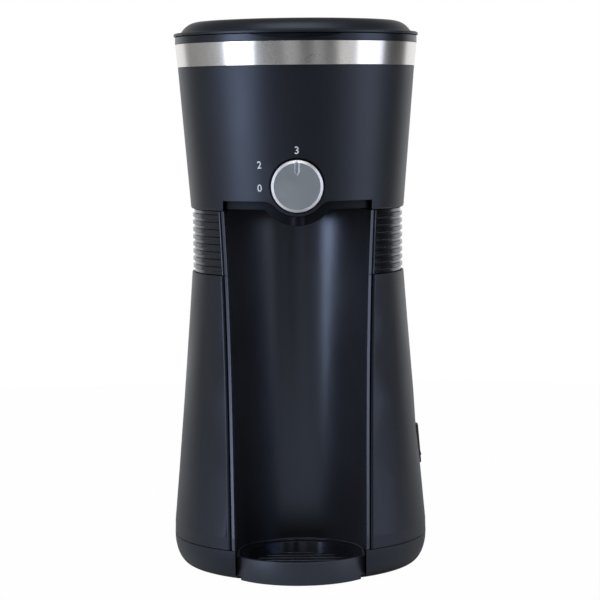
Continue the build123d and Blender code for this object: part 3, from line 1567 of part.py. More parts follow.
with BuildPart() as cord_bush:
    with BuildSketch(bush_plane):
        with BuildLine():
            Polyline(
                (CORD_BORE, 61.5),
                (BUSH_NECK_RADIUS - 0.4, 61.5),
                (BUSH_NECK_RADIUS + 1.4, 63.6),
                (BUSH_NECK_RADIUS + 1.4, 65.4),
                (BUSH_NECK_RADIUS, 65.4),
                (BUSH_NECK_RADIUS, BUSH_SEAT),
                (BUSH_FLANGE_RADIUS, BUSH_SEAT),
                (BUSH_FLANGE_RADIUS, BUSH_SEAT + 1.6),
                (BUSH_FLANGE_RADIUS - 1.8, BUSH_END),
                (CORD_BORE, BUSH_END),
                close=True,
            )
        make_face()
    revolve(axis=bush_axis)

cord_bush.part.label = "cord_bush"
export_step(cord_bush.part, "parts/cord_bush.step")

# Drip tray

with BuildPart() as drip_tray:
    with BuildSketch(Plane.XY.offset(FLOOR_TOP)):
        add(tray_outline(0))
    extrude(amount=TRAY_RIM - FLOOR_TOP)
    fillet(drip_tray.edges().group_by(Axis.Z)[-1], radius=0.5)
    # shallow ledge inside the rim, then the well
    with BuildSketch(Plane.XY.offset(TRAY_RIM - LEDGE_DROP)):
        add(tray_outline(RIM_BEAD))
    extrude(amount=LEDGE_DROP, mode=Mode.SUBTRACT)
    with BuildSketch(Plane.XY.offset(TRAY_RIM - LEDGE_DROP)):
        add(tray_outline(TRAY_WELL_INSET))
    extrude(amount=-(TRAY_RIM - LEDGE_DROP - TRAY_FLOOR), taper=8, mode=Mode.SUBTRACT)
    # raised ribs across the floor
    with BuildSketch(Plane.XY.offset(TRAY_FLOOR)):
        for index in range(-4, 4):
            away = (index + 0.5) * TRAY_RIB_PITCH
            half_length = (TRAY_RIB_DISC**2 - away**2) ** 0.5
            with Locations((0, TRAY_CENTRE + away)):
                SlotOverall(2 * half_length, TRAY_RIB_WIDTH)
    extrude(amount=TRAY_RIB_HEIGHT)
    # recessed underside, and the skirt in front of the base's floor
    with BuildSketch(Plane.XY.offset(FLOOR_TOP)):
        with Locations((0, TRAY_CENTRE)):
            Circle(TRAY_RADIUS - TRAY_WELL_INSET - 2)
    extrude(amount=TRAY_FLOOR - FLOOR_TOP - 1.6, mode=Mode.SUBTRACT)
    with BuildSketch(Plane.XY.offset(FLOOR_TOP)):
        add(tray_outline(0))
        add(tray_outline(TRAY_SKIRT), mode=Mode.SUBTRACT)
        with Locations((0, SKIRT_START)):
            Rectangle(80, 80, align=(Align.CENTER, Align.MIN), mode=Mode.SUBTRACT)
    extrude(amount=FOOT_HEIGHT - FLOOR_TOP)

drip_tray.part.label = "drip_tray"
export_step(drip_tray.part, "parts/drip_tray.step")
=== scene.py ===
"""Looks of the iced coffee maker: finishes, the bowed tray, printed numbers and the studio."""

import json
from math import atan2, cos, hypot, pi, radians, sin

import bpy
from bpy.props import FloatProperty, FloatVectorProperty, PointerProperty
from bpy.types import Operator, Panel, PropertyGroup
from mathutils import Matrix, Vector


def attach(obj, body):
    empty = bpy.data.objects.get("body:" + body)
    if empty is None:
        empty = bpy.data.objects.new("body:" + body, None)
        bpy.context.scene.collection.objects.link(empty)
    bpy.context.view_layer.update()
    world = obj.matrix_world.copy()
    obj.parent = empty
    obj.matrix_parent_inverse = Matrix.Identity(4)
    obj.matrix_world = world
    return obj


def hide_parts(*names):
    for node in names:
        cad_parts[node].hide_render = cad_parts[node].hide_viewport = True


bl_info = {
    "name": "Iced Coffee Maker Looks",
    "version": (1, 0, 0),
    "blender": (4, 5, 0),
    "location": "3D View > Sidebar > Coffee Maker",
    "description": "Finishes and small details for the packed iced coffee maker",
    "category": "Object",
}

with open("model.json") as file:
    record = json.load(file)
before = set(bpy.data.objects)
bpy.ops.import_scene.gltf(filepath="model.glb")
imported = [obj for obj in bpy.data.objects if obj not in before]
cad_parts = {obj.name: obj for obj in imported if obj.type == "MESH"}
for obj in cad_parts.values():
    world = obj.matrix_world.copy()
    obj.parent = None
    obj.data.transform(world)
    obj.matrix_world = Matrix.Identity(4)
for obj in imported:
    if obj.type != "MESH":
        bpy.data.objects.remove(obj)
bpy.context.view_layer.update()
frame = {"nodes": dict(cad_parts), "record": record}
SLOT_OF = {part["node"]: part["material_slot"] for part in frame["record"]["subparts"]}
MM = 0.001


# Node helpers


def add_node(tree, kind, **settings):
    """A new node, with its attributes set by name and its inputs by a dict called inputs."""
    inputs = settings.pop("inputs", {})
    node = tree.nodes.new(kind)
    for name, value in settings.items():
        setattr(node, name, value)
    for name, value in inputs.items():
        node.inputs[name].default_value = value
    return node


def new_finish(name, colour, roughness, **sockets):
    """A material whose shader holds the plain values, and its tree, shader and coordinates."""
    finish = bpy.data.materials.new(name)
    finish.use_nodes = True
    tree = finish.node_tree
    shader = tree.nodes["Principled BSDF"]
    shader.inputs["Base Color"].default_value = (*colour, 1)
    shader.inputs["Roughness"].default_value = roughness
    for socket, value in sockets.items():
        shader.inputs[socket.replace("_", " ")].default_value = value
    place = add_node(tree, "ShaderNodeTexCoord")
    return finish, tree, shader, place.outputs["Object"]


def noise(tree, place, scale, detail=2.0, roughness=0.5):
    """Noise over object coordinates, scale in cells per metre."""
    node = add_node(
        tree,
        "ShaderNodeTexNoise",
        inputs={"Scale": scale, "Detail": detail, "Roughness": roughness},
    )
    tree.links.new(place, node.inputs["Vector"])
    return node.outputs["Fac"]


# The part of a noise's range that holds nearly all of its values

NOISE_LOW = 0.3
NOISE_HIGH = 0.7


def spread(tree, value, low, high, start=NOISE_LOW, end=NOISE_HIGH):
    """Maps a value that runs from start to end onto the range from low to high."""
    node = add_node(
        tree,
        "ShaderNodeMapRange",
        inputs={"From Min": start, "From Max": end, "To Min": low, "To Max": high},
    )
    tree.links.new(value, node.inputs["Value"])
    return node.outputs["Result"]


def tinted(colour, factor):
    """A colour made lighter or darker."""
    return tuple(min(1.0, channel * factor) for channel in colour)


def mottle(tree, shader, value, colour, darker, lighter):
    """Varies the colour with a noise, between a darker and a lighter share of itself."""
    node = add_node(tree, "ShaderNodeValToRGB")
    node.color_ramp.elements[0].position = NOISE_LOW
    node.color_ramp.elements[0].color = (*tinted(colour, darker), 1)
    node.color_ramp.elements[1].position = NOISE_HIGH
    node.color_ramp.elements[1].color = (*tinted(colour, lighter), 1)
    tree.links.new(value, node.inputs["Fac"])
    tree.links.new(node.outputs["Color"], shader.inputs["Base Color"])


def vary_gloss(tree, shader, value, low, high):
    """Varies the roughness with a noise."""
    tree.links.new(spread(tree, value, low, high), shader.inputs["Roughness"])


EDGE_SAMPLES = 6


def relief(tree, shader, height, strength, depth, edge=0.0):
    """Bump from a height, over edges softened by a bevel of the given radius."""
    bump = add_node(tree, "ShaderNodeBump", inputs={"Strength": strength, "Distance": depth})
    tree.links.new(height, bump.inputs["Height"])
    if edge > 0:
        bevel = add_node(
            tree, "ShaderNodeBevel", samples=EDGE_SAMPLES, inputs={"Radius": edge}
        )
        tree.links.new(bevel.outputs["Normal"], bump.inputs["Normal"])
    tree.links.new(bump.outputs["Normal"], shader.inputs["Normal"])


# Finishes, with the scales of their noises in cells per metre

PLASTIC_CLOUDS = 38
PLASTIC_GRAIN = 5200
PLASTIC_SHEEN = (0.68, 0.78, 1.0, 1)
BRUSH_LINES = 3800
BRUSH_CLOUDS = 45
BRUSH_STRETCH = 0.006
METAL_GRAIN = 2600
CAST_GRAIN = 900
METAL_CLOUDS = 120
RUBBER_CLOUDS = 160
RUBBER_GRAIN = 3000
GLOSSY_CLOUDS = 60
GLOSSY_WAVES = 700
WEAVE_WAVES = 330
INK_GRAIN = 1500
GRAIN_DEPTH = 0.02 * MM
FINE_DEPTH = 0.01 * MM
WEAVE_DEPTH = 0.1 * MM


def eroded_plastic(name, colour, roughness, gloss=0.6, strength=0.25, edge=0.4 * MM):
    """Moulded black plastic with a fine spark-eroded skin and a bluish gloss."""
    finish, tree, shader, place = new_finish(
        name, colour, roughness, Specular_Tint=PLASTIC_SHEEN, Specular_IOR_Level=gloss
    )
    clouds = noise(tree, place, PLASTIC_CLOUDS, 3)
    mottle(tree, shader, clouds, colour, 0.9, 1.12)
    vary_gloss(tree, shader, clouds, roughness - 0.02, roughness + 0.03)
    relief(tree, shader, noise(tree, place, PLASTIC_GRAIN), strength, GRAIN_DEPTH, edge)
    return finish


def brushed_band(name, colour):
    """Steel brushed round the column: fine lines that run level round it."""
    finish, tree, shader, place = new_finish(
        name, colour, 0.24, Metallic=1.0, Anisotropic=0.85, Anisotropic_Rotation=0.25
    )
    parts = add_node(tree, "ShaderNodeSeparateXYZ")
    tree.links.new(place, parts.inputs["Vector"])
    angle = add_node(tree, "ShaderNodeMath", operation="ARCTAN2")
    tree.links.new(parts.outputs["Y"], angle.inputs[0])
    tree.links.new(parts.outputs["X"], angle.inputs[1])
    around = add_node(tree, "ShaderNodeCombineXYZ")
    stretch = add_node(
        tree, "ShaderNodeMath", operation="MULTIPLY", inputs={1: BRUSH_STRETCH}
    )
    tree.links.new(angle.outputs["Value"], stretch.inputs[0])
    tree.links.new(stretch.outputs["Value"], around.inputs["X"])
    tree.links.new(parts.outputs["Z"], around.inputs["Y"])
    lines = noise(tree, around.outputs["Vector"], BRUSH_LINES, 4, 0.6)
    clouds = noise(tree, place, BRUSH_CLOUDS)
    mottle(tree, shader, lines, colour, 0.86, 1.12)
    vary_gloss(tree, shader, clouds, 0.25, 0.31)
    tangent = add_node(tree, "ShaderNodeTangent", direction_type="RADIAL", axis="Z")
    tree.links.new(tangent.outputs["Tangent"], shader.inputs["Tangent"])
    relief(tree, shader, lines, 0.12, FINE_DEPTH, 0.2 * MM)
    return finish


def satin_metal(name, colour, roughness, grain=METAL_GRAIN, strength=0.1):
    """Bead-blasted or cast metal with an even fine grain."""
    finish, tree, shader, place = new_finish(name, colour, roughness, Metallic=1.0)
    fine = noise(tree, place, grain, 3)
    clouds = noise(tree, place, METAL_CLOUDS)
    mottle(tree, shader, fine, colour, 0.95, 1.05)
    vary_gloss(tree, shader, clouds, roughness - 0.03, roughness + 0.03)
    relief(tree, shader, fine, strength, FINE_DEPTH, 0.15 * MM)
    return finish


def soft_rubber(name, colour, roughness=0.75):
    """Rubber or silicone with a faintly powdery skin."""
    finish, tree, shader, place = new_finish(name, colour, roughness)
    clouds = noise(tree, place, RUBBER_CLOUDS, 3)
    mottle(tree, shader, clouds, colour, 0.85, 1.15)
    vary_gloss(tree, shader, clouds, roughness - 0.06, roughness + 0.06)
    relief(tree, shader, noise(tree, place, RUBBER_GRAIN), 0.3, GRAIN_DEPTH, 0.2 * MM)
    return finish


def glossy_plastic(name, colour, roughness):
    """Smooth moulded plastic with faint flow marks."""
    finish, tree, shader, place = new_finish(name, colour, roughness)
    clouds = noise(tree, place, GLOSSY_CLOUDS)
    mottle(tree, shader, clouds, colour, 0.94, 1.08)
    vary_gloss(tree, shader, clouds, roughness - 0.02, roughness + 0.04)
    relief(tree, shader, noise(tree, place, GLOSSY_WAVES), 0.06, GRAIN_DEPTH, 0.3 * MM)
    return finish


def woven_mesh(name, colour):
    """Fine woven steel mesh, as crossed ridges with dark gaps between them."""
    finish, tree, shader, place = new_finish(name, colour, 0.35, Metallic=1.0)
    waves = []
    for direction in ("X", "Z"):
        wave = add_node(
            tree,
            "ShaderNodeTexWave",
            wave_type="BANDS",
            bands_direction=direction,
            inputs={"Scale": WEAVE_WAVES, "Distortion": 0.0},
        )
        tree.links.new(place, wave.inputs["Vector"])
        waves.append(wave.outputs["Fac"])
    weave = add_node(tree, "ShaderNodeMath", operation="MAXIMUM")
    tree.links.new(waves[0], weave.inputs[0])
    tree.links.new(waves[1], weave.inputs[1])
    mottle(tree, shader, weave.outputs["Value"], colour, 0.25, 1.05)
    relief(tree, shader, weave.outputs["Value"], 0.6, WEAVE_DEPTH)
    return finish


def printed_ink(name, colour):
    """Pad-printed ink, slightly uneven."""
    finish, tree, shader, place = new_finish(name, colour, 0.45)
    mottle(tree, shader, noise(tree, place, INK_GRAIN, 3), colour, 0.92, 1.04)
    return finish


# What a user would change


def colour_value(name, description, colour):
    """A colour, with its name, description and default."""
    return FloatVectorProperty(
        name=name, description=description, subtype="COLOR", size=3, min=0, max=1, default=colour
    )


def gloss_value(name, description, roughness):
    """A roughness, with its name, description and default."""
    return FloatProperty(
        name=name, description=description, subtype="FACTOR", min=0.05, max=1, default=roughness
    )


def length_value(name, description, length):
    """A length, with its name, description and default in millimetres."""
    return FloatProperty(
        name=name, description=description, subtype="DISTANCE", unit="LENGTH", default=length * MM
    )


def angle_value(name, description, angle):
    """An angle, with its name, description and default in degrees."""
    return FloatProperty(
        name=name, description=description, subtype="ANGLE", default=radians(angle)
    )


class FinishValues(PropertyGroup):
    """Colours and gloss of the visible pieces."""

    plastic: colour_value("Plastic", "Colour of the black casing", (0.0036, 0.0038, 0.0045))
    casing_gloss: gloss_value("Casing roughness", "Roughness of the casing, head and base", 0.41)
    bay_gloss: gloss_value("Bay roughness", "Roughness of the bay panel and the top rim", 0.3)
    steel: colour_value("Steel", "Colour of the brushed band", (0.78, 0.765, 0.745))
    knob_face: colour_value("Knob face", "Colour of the knob's satin cap", (0.5, 0.54, 0.58))


class TrayValues(PropertyGroup):
    """Sizes of the drip tray."""

    half_width: length_value("Half width", "Half the tray's width", 34.3)
    centre: length_value("Centre", "Where the round back has its centre", -38.5)
    front: length_value("Front", "Where the front stands out furthest", -72.8)
    bow_radius: length_value("Bow radius", "Radius of the bowed front", 40.46)
    bottom: length_value("Bottom", "Lower edge of the skirt in front", 1.0)
    underside: length_value("Underside", "Height of the tray's underside", 3.0)
    top: length_value("Top", "Height of the rim", 13.4)
    bead: length_value("Bead", "Width of the rim's bead", 1.3)
    ledge_drop: length_value("Ledge drop", "How far the ledge lies under the rim", 1.0)
    well_inset: length_value("Well inset", "From the tray's outside to its well", 5.5)
    floor: length_value("Floor", "Height of the well's floor", 6.2)
    sill_centre: length_value("Sill centre", "Centre of the floor's edge under the tray", -18.4)
    sill_radius: length_value("Sill radius", "Radius of the floor's edge under the tray", 52.4)
    base_radius: length_value("Base radius", "Radius of the base's floor under the tray", 65.4)
    rib_pitch: length_value("Rib pitch", "Distance from rib to rib", 7.0)
    rib_disc: length_value("Rib disc", "Radius of the disc that the ribs fill", 25.6)
    rib_width: length_value("Rib width", "Width of a rib", 1.8)
    rib_height: length_value("Rib height", "Height of a rib", 0.8)


class MarkValues(PropertyGroup):
    """The printed numbers on the head and the rocker."""

    height: length_value("Number height", "Height of the printed numbers", 3.9)
    ink: colour_value("Ink", "Colour of the printed numbers", (0.8, 0.81, 0.84))
    film: length_value("Ink thickness", "Thickness of the ink", 0.03)


class StudioValues(PropertyGroup):
    """The camera."""

    focal: FloatProperty(
        name="Focal length",
        description="Lens of the camera on a 36 mm wide sensor, in millimetres",
        default=130.34,
    )
    distance: length_value("Distance", "From the column's axis to the camera, level", 1194)
    eye: length_value("Camera height", "Height of the camera over the ground", 250.9)
    tilt: angle_value("Tilt", "Camera's downward tilt", 5.06)
    roll: angle_value("Roll", "Camera's roll", -0.562)
    pan: angle_value("Pan", "Camera's turn to the left", -0.045)


# Helpers for pieces


def deselect():
    """Nothing is selected, so the next operator acts only on what it makes."""
    bpy.ops.object.select_all(action="DESELECT")


def pick(piece):
    """Selects one piece and makes it the active one."""
    deselect()
    piece.select_set(True)
    bpy.context.view_layer.objects.active = piece


def at_rest(piece):
    """Puts the piece's place into its mesh."""
    pick(piece)
    bpy.ops.object.transform_apply(location=True, rotation=True, scale=True)


def choose(piece, wanted):
    """Opens a piece in edit mode with the wanted vertices selected."""
    pick(piece)
    bpy.ops.object.mode_set(mode="EDIT")
    bpy.ops.mesh.select_mode(type="VERT")
    bpy.ops.mesh.select_all(action="DESELECT")
    bpy.ops.object.mode_set(mode="OBJECT")
    for vertex in piece.data.vertices:
        vertex.select = wanted(vertex)
    bpy.ops.object.mode_set(mode="EDIT")


def cut(piece, tool, operation):
    """Cuts a piece with a tool by a boolean and takes the tool away."""
    modifier = piece.modifiers.new("cut", "BOOLEAN")
    modifier.object = tool
    modifier.operation = operation
    modifier.solver = "EXACT"
    pick(piece)
    bpy.ops.object.modifier_apply(modifier="cut")
    mesh = tool.data
    bpy.data.objects.remove(tool)
    bpy.data.meshes.remove(mesh)
    if not piece.data.polygons:
        raise RuntimeError(f"nothing is left of {piece.name}")


def finish_nodes(slot, finish):
    """Gives a finish to every CAD node of a material slot."""
    found = [name for name, its_slot in SLOT_OF.items() if its_slot == slot]
    if not found:
        raise RuntimeError(f"no piece has the material slot {slot}")
    for name in found:
        node = frame["nodes"][name]
        if not node.material_slots:
            node.data.materials.append(finish)
        for held in node.material_slots:
            held.material = finish


# Finishes of the CAD nodes. The shares say how pale a finish is next to the casing: the
# underside's low share is painted shade, and the bay's high share is painted light.

UNDERSIDE_SHADE_SHARE = 0.4
BASKET_SHARE = 3.0
BAY_LIGHT_SHARE = 6.0


class COFFEE_OT_casing(Operator):
    """Finishes the black plastic mouldings"""

    bl_idname = "coffee.casing"
    bl_label = "Casing"

    def execute(self, context):
        values = context.scene.coffee_finish
        black = tuple(values.plastic)
        smooth = values.bay_gloss
        for slot in ("base", "casing", "head", "lid"):
            finish_nodes(slot, eroded_plastic(slot + "_plastic", black, values.casing_gloss))
        # the underside's colour is darkened to a share of the casing's: painted shade under the
        # head's lip and on the chin
        underside = eroded_plastic(
            "underside_painted_shade", tinted(black, UNDERSIDE_SHADE_SHARE), 0.5, gloss=0.2
        )
        finish_nodes("underside", underside)
        waist = eroded_plastic(
            "waist_plastic", black, 0.15, gloss=0.85, strength=0.06, edge=0.15 * MM
        )
        finish_nodes("waist", waist)
        # the bay panel's colour is made paler than the casing's: painted light on the bay's walls
        bay = eroded_plastic(
            "bay_painted_light", tinted(black, BAY_LIGHT_SHARE), smooth, gloss=1.0, strength=0.12
        )
        finish_nodes("bay", bay)
        finish_nodes("rim", eroded_plastic("rim_plastic", black, smooth))
        finish_nodes("liner", eroded_plastic("liner_plastic", black, 0.45))
        basket = eroded_plastic("basket_plastic", tinted(black, BASKET_SHARE), 0.42)
        finish_nodes("basket", basket)
        finish_nodes("nozzle", eroded_plastic("nozzle_plastic", black, 0.28))
        return {"FINISHED"}


class COFFEE_OT_metalwork(Operator):
    """Finishes the steel band, the knob and the metal parts"""

    bl_idname = "coffee.metalwork"
    bl_label = "Metalwork"

    def execute(self, context):
        values = context.scene.coffee_finish
        finish_nodes("steel", brushed_band("band_steel", tuple(values.steel)))
        finish_nodes("knob_face", satin_metal("knob_face_satin", tuple(values.knob_face), 0.42))
        finish_nodes("knob_rim", satin_metal("knob_rim_bright", (0.93, 0.935, 0.95), 0.5))
        finish_nodes("screws", satin_metal("screw_zinc", (0.55, 0.56, 0.58), 0.34))
        finish_nodes("springs", satin_metal("spring_steel", (0.42, 0.41, 0.4), 0.3))
        cast = satin_metal("cast_aluminium", (0.6, 0.61, 0.62), 0.5, CAST_GRAIN, strength=0.5)
        finish_nodes("heater", cast)
        heated = satin_metal("heated_steel", (0.36, 0.33, 0.3), 0.45, CAST_GRAIN, strength=0.3)
        finish_nodes("element", heated)
        finish_nodes("terminals", satin_metal("terminal_brass", (0.7, 0.6, 0.38), 0.32))
        finish_nodes("mesh", woven_mesh("filter_weave", (0.6, 0.58, 0.54)))
        return {"FINISHED"}


class COFFEE_OT_soft_parts(Operator):
    """Finishes the rubber, silicone, tank and switch"""

    bl_idname = "coffee.soft_parts"
    bl_label = "Rubber, tank and switch"

    def execute(self, context):
        finish_nodes("feet", soft_rubber("foot_rubber", (0.02, 0.02, 0.02)))
        finish_nodes("bush", soft_rubber("bush_rubber", (0.018, 0.018, 0.02), 0.6))
        finish_nodes("seals", soft_rubber("seal_silicone", (0.55, 0.55, 0.53), 0.5))
        finish_nodes("hoses", soft_rubber("hose_silicone", (0.68, 0.68, 0.66), 0.42))
        finish_nodes("tank", glossy_plastic("tank_smoke", (0.2, 0.21, 0.23), 0.12))
        finish_nodes("valve", glossy_plastic("valve_white", (0.72, 0.72, 0.7), 0.34))
        finish_nodes("thermals", glossy_plastic("thermal_brown", (0.06, 0.05, 0.045), 0.3))
        finish_nodes("switch", glossy_plastic("switch_black", (0.012, 0.012, 0.013), 0.16))
        return {"FINISHED"}


# Drip tray. Its blocks are cut from taller ones, which start and end at these heights.

TRAY_UNDER = -20 * MM
TRAY_OVER = 40 * MM
BACK_SIDES = 128
BOW_SIDES = 360
SILL_SIDES = 256
TRAY_RIBS = 8
RIB_SINK = 0.1 * MM
RIB_EDGE = 0.3 * MM
WELL_TAPER = 0.967
WELL_MIDDLE = 5 * MM
TRAY_MERGE = 0.08 * MM
TRAY_EDGE = 0.42 * MM
SHARP = radians(60)
SMOOTH = radians(28)
NEAR = 0.1 * MM
SKIN = 0.2 * MM
BEAD_DEPTH = 0.45 * MM
TRAY_SHARE = 7.0
TRAY_WELL_SHARE = 3.0
# the bead's high share is a painted highlight along the rim
TRAY_BEAD_HIGHLIGHT_SHARE = 14.0


def round_block(radius, y, bottom, top, sides):
    """An upright round block on the middle plane."""
    deselect()
    bpy.ops.mesh.primitive_cylinder_add(
        vertices=sides,
        radius=radius,
        depth=top - bottom,
        location=(0, y, (bottom + top) / 2),
    )
    return bpy.context.object


def tray_block(values, inset, bottom, top):
    """A block as the tray is seen from above: round back, straight sides, bowed front."""
    block = round_block(values.half_width - inset, values.centre, bottom, top, BACK_SIDES)
    at_rest(block)
    choose(block, lambda vertex: vertex.co.y < values.centre - NEAR)
    bpy.ops.transform.translate(value=(0, -values.half_width, 0))
    bpy.ops.object.mode_set(mode="OBJECT")
    middle = values.front + values.bow_radius
    radius = values.bow_radius - inset
    bow = round_block(radius, middle, 2 * TRAY_UNDER, 2 * TRAY_OVER, BOW_SIDES)
    cut(block, bow, "INTERSECT")
    return block


def hollow_tray(values):
    """The tray without its ribs: outside, skirt, bead, ledge and well, with softened edges."""
    tray = tray_block(values, 0, values.bottom, values.top)
    # the base's floor ends in front in a flatter bow, which the skirt hangs over
    sill = round_block(
        values.sill_radius, values.sill_centre, TRAY_UNDER, values.underside, SILL_SIDES
    )
    base = round_block(values.base_radius, 0, 2 * TRAY_UNDER, TRAY_OVER, SILL_SIDES)
    cut(sill, base, "INTERSECT")
    cut(tray, sill, "DIFFERENCE")
    ledge = tray_block(values, values.bead, values.top - values.ledge_drop, TRAY_OVER)
    cut(tray, ledge, "DIFFERENCE")
    well = tray_block(values, values.well_inset, values.floor, TRAY_OVER)
    choose(well, lambda vertex: vertex.co.z < values.floor + NEAR)
    bpy.ops.transform.resize(
        value=(WELL_TAPER, WELL_TAPER, 1),
        center_override=(0, values.centre - WELL_MIDDLE, values.floor),
    )
    bpy.ops.object.mode_set(mode="OBJECT")
    cut(tray, well, "DIFFERENCE")
    choose(tray, lambda vertex: True)
    bpy.ops.mesh.remove_doubles(threshold=TRAY_MERGE)
    bpy.ops.object.mode_set(mode="OBJECT")
    soften = tray.modifiers.new("soften", "BEVEL")
    soften.width = TRAY_EDGE
    soften.segments = 3
    soften.limit_method = "ANGLE"
    soften.angle_limit = SHARP
    soften.use_clamp_overlap = False
    bpy.ops.object.modifier_apply(modifier="soften")
    return tray


def tray_rib(y, length, values):
    """One rib of the tray's floor, with softened edges."""
    deselect()
    bpy.ops.mesh.primitive_cube_add(
        size=1,
        location=(0, y, values.floor + values.rib_height / 2 - RIB_SINK),
        scale=(length, values.rib_width, values.rib_height + 2 * RIB_SINK),
    )
    rib = bpy.context.object
    at_rest(rib)
    choose(rib, lambda vertex: True)
    bpy.ops.mesh.bevel(offset=RIB_EDGE, segments=3, affect="EDGES")
    bpy.ops.object.mode_set(mode="OBJECT")
    return rib


def finish_tray(tray, values, black):
    """A matt outside, a glossy well, and a glossy bead round the rim whose paler colour is a
    painted highlight.
    """
    outside = eroded_plastic(
        "tray_plastic", tinted(black, TRAY_SHARE), 0.42, gloss=0.6, strength=0.2
    )
    inside = eroded_plastic(
        "tray_well_plastic",
        tinted(black, TRAY_WELL_SHARE),
        0.2,
        gloss=1.0,
        strength=0.1,
        edge=0.1 * MM,
    )
    bead = eroded_plastic(
        "tray_bead_painted_highlight", tinted(black, TRAY_BEAD_HIGHLIGHT_SHARE), 0.24, gloss=1.0, strength=0.1
    )
    finish_nodes("tray", outside)
    tray.data.materials.clear()
    for finish in (outside, inside, bead):
        tray.data.materials.append(finish)
    half = values.half_width - SKIN
    bow = values.bow_radius - SKIN
    middle = values.front + values.bow_radius
    for face in tray.data.polygons:
        x, y, z = face.center
        within_back = y < values.centre or hypot(x, y - values.centre) < half
        within_front = abs(x) < half and hypot(x, y - middle) < bow
        inner = z > values.floor - NEAR and within_back and within_front
        upper = z > values.top - BEAD_DEPTH
        # faces of the bead get the paler finish: a painted highlight along the rim
        face.material_index = 2 if inner and upper else int(inner)


class COFFEE_OT_drip_tray(Operator):
    """Makes the drip tray with its bowed front, in place of the plainer one"""

    bl_idname = "coffee.drip_tray"
    bl_label = "Drip tray"

    def execute(self, context):
        values = context.scene.coffee_tray
        tray = hollow_tray(values)
        tray.name = "bowed_tray"
        ribs = []
        for index in range(TRAY_RIBS):
            away = (index + 0.5 - TRAY_RIBS / 2) * values.rib_pitch
            length = 2 * (values.rib_disc**2 - away**2) ** 0.5
            ribs.append(tray_rib(values.centre + away, length, values))
        pick(tray)
        for rib in ribs:
            rib.select_set(True)
        bpy.ops.object.join()
        bpy.ops.object.shade_smooth_by_angle(angle=SMOOTH)
        finish_tray(tray, values, tuple(context.scene.coffee_finish.plastic))
        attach(tray, "tray")
        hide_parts("drip_tray")
        return {"FINISHED"}


# Printed numbers. Those on the head: name, number, place to the right and height, in millimetres.

HEAD_MARKS = (
    ("mark_three", "3", 0.0, 228.6),
    ("mark_two", "2", -19.8, 221.0),
    ("mark_zero", "0", -20.1, 208.8),
)
HEAD_SKIN = 60.6
HEAD_LEAN = radians(-4.7)

# Those on the rocker: name, number and height, in millimetres

SWITCH_MARKS = (
    ("mark_on", "1", 69.2),
    ("mark_off", "0", 58.8),
)
SWITCH_TURN = radians(100)
SWITCH_REACH = 67.5

FONT_SHARE = 1.38
MARK_BOLD = 0.05 * MM
MARK_MERGE = 0.01 * MM
MARK_LIFT = 0.06 * MM


def print_mark(piece, body, carrier, finish, text, where, lean, turn, values):
    """Prints a number on a carrier's skin: where it stands, how it leans and turns."""
    deselect()
    bpy.ops.object.text_add(location=where, rotation=(radians(90) - lean, 0, turn))
    label = bpy.context.object
    label.data.body = text
    label.data.size = values.height * FONT_SHARE
    label.data.offset = MARK_BOLD
    label.data.align_x = "CENTER"
    label.data.align_y = "CENTER"
    bpy.ops.object.convert(target="MESH")
    label = bpy.context.object
    label.name = piece
    at_rest(label)
    bpy.ops.object.mode_set(mode="EDIT")
    bpy.ops.mesh.select_all(action="SELECT")
    bpy.ops.mesh.remove_doubles(threshold=MARK_MERGE)
    bpy.ops.mesh.quads_convert_to_tris()
    bpy.ops.object.mode_set(mode="OBJECT")
    wrap = label.modifiers.new("wrap", "SHRINKWRAP")
    wrap.target = carrier
    wrap.wrap_method = "NEAREST_SURFACEPOINT"
    wrap.wrap_mode = "ABOVE_SURFACE"
    wrap.offset = MARK_LIFT
    bpy.ops.object.modifier_apply(modifier="wrap")
    film = label.modifiers.new("film", "SOLIDIFY")
    film.thickness = values.film
    film.offset = 1
    bpy.ops.object.modifier_apply(modifier="film")
    label.data.materials.append(finish)
    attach(label, body)
    return label


class COFFEE_OT_marks(Operator):
    """Prints the plain numbers round the knob and on the rocker"""

    bl_idname = "coffee.marks"
    bl_label = "Printed numbers"

    def execute(self, context):
        values = context.scene.coffee_marks
        finish = printed_ink("white_ink", tuple(values.ink))
        head = frame["nodes"]["head_shell"]
        for piece, text, x, z in HEAD_MARKS:
            where = (x * MM, -(HEAD_SKIN**2 - x**2) ** 0.5 * MM, z * MM)
            turn = atan2(x, HEAD_SKIN)
            print_mark(piece, "casing", head, finish, text, where, HEAD_LEAN, turn, values)
        rocker = frame["nodes"]["rocker"]
        reach = SWITCH_REACH * MM
        for piece, text, z in SWITCH_MARKS:
            where = (reach * sin(SWITCH_TURN), -reach * cos(SWITCH_TURN), z * MM)
            print_mark(piece, "rocker", rocker, finish, text, where, 0, SWITCH_TURN, values)
        return {"FINISHED"}


# Studio: how bright the walls are round the column, in degrees from the front to the right

BACK_LEVEL = 0.95
PANELS = (
    (-137, BACK_LEVEL),
    (-128, 0.26),
    (-92, 0.34),
    (-76, 0.5),
    (-47, 0.42),
    (-38, 0.22),
    (-13, 0.12),
    (-10, 0.34),
    (2, 0.3),
    (5, 0.03),
    (15, 0.03),
    (18, 0.26),
    (24, 0.26),
    (27, 0.08),
    (39, 0.08),
    (43, 0.8),
    (64, 0.6),
    (90, 0.12),
    (104, 0.03),
    (126, 0.12),
    (135, BACK_LEVEL),
)
CEILING_LEVEL = 0.2
CEILING_START = 0.2
CEILING_END = 0.55

# Lamps: name, angle, height, distance, width, length, power in watts and colour

LAMPS = (
    ("lamp_left", -55, 0.35, 1.3, 0.64, 1.7, 13, (0.88, 0.96, 1.15)),
    ("lamp_right", 75, 0.35, 1.3, 0.7, 1.7, 6, (0.9, 0.96, 1.12)),
    ("lamp_above", 0, 1.6, 0.35, 1.0, 0.7, 6, (1, 1, 1)),
)
LAMP_AIM = 0.15

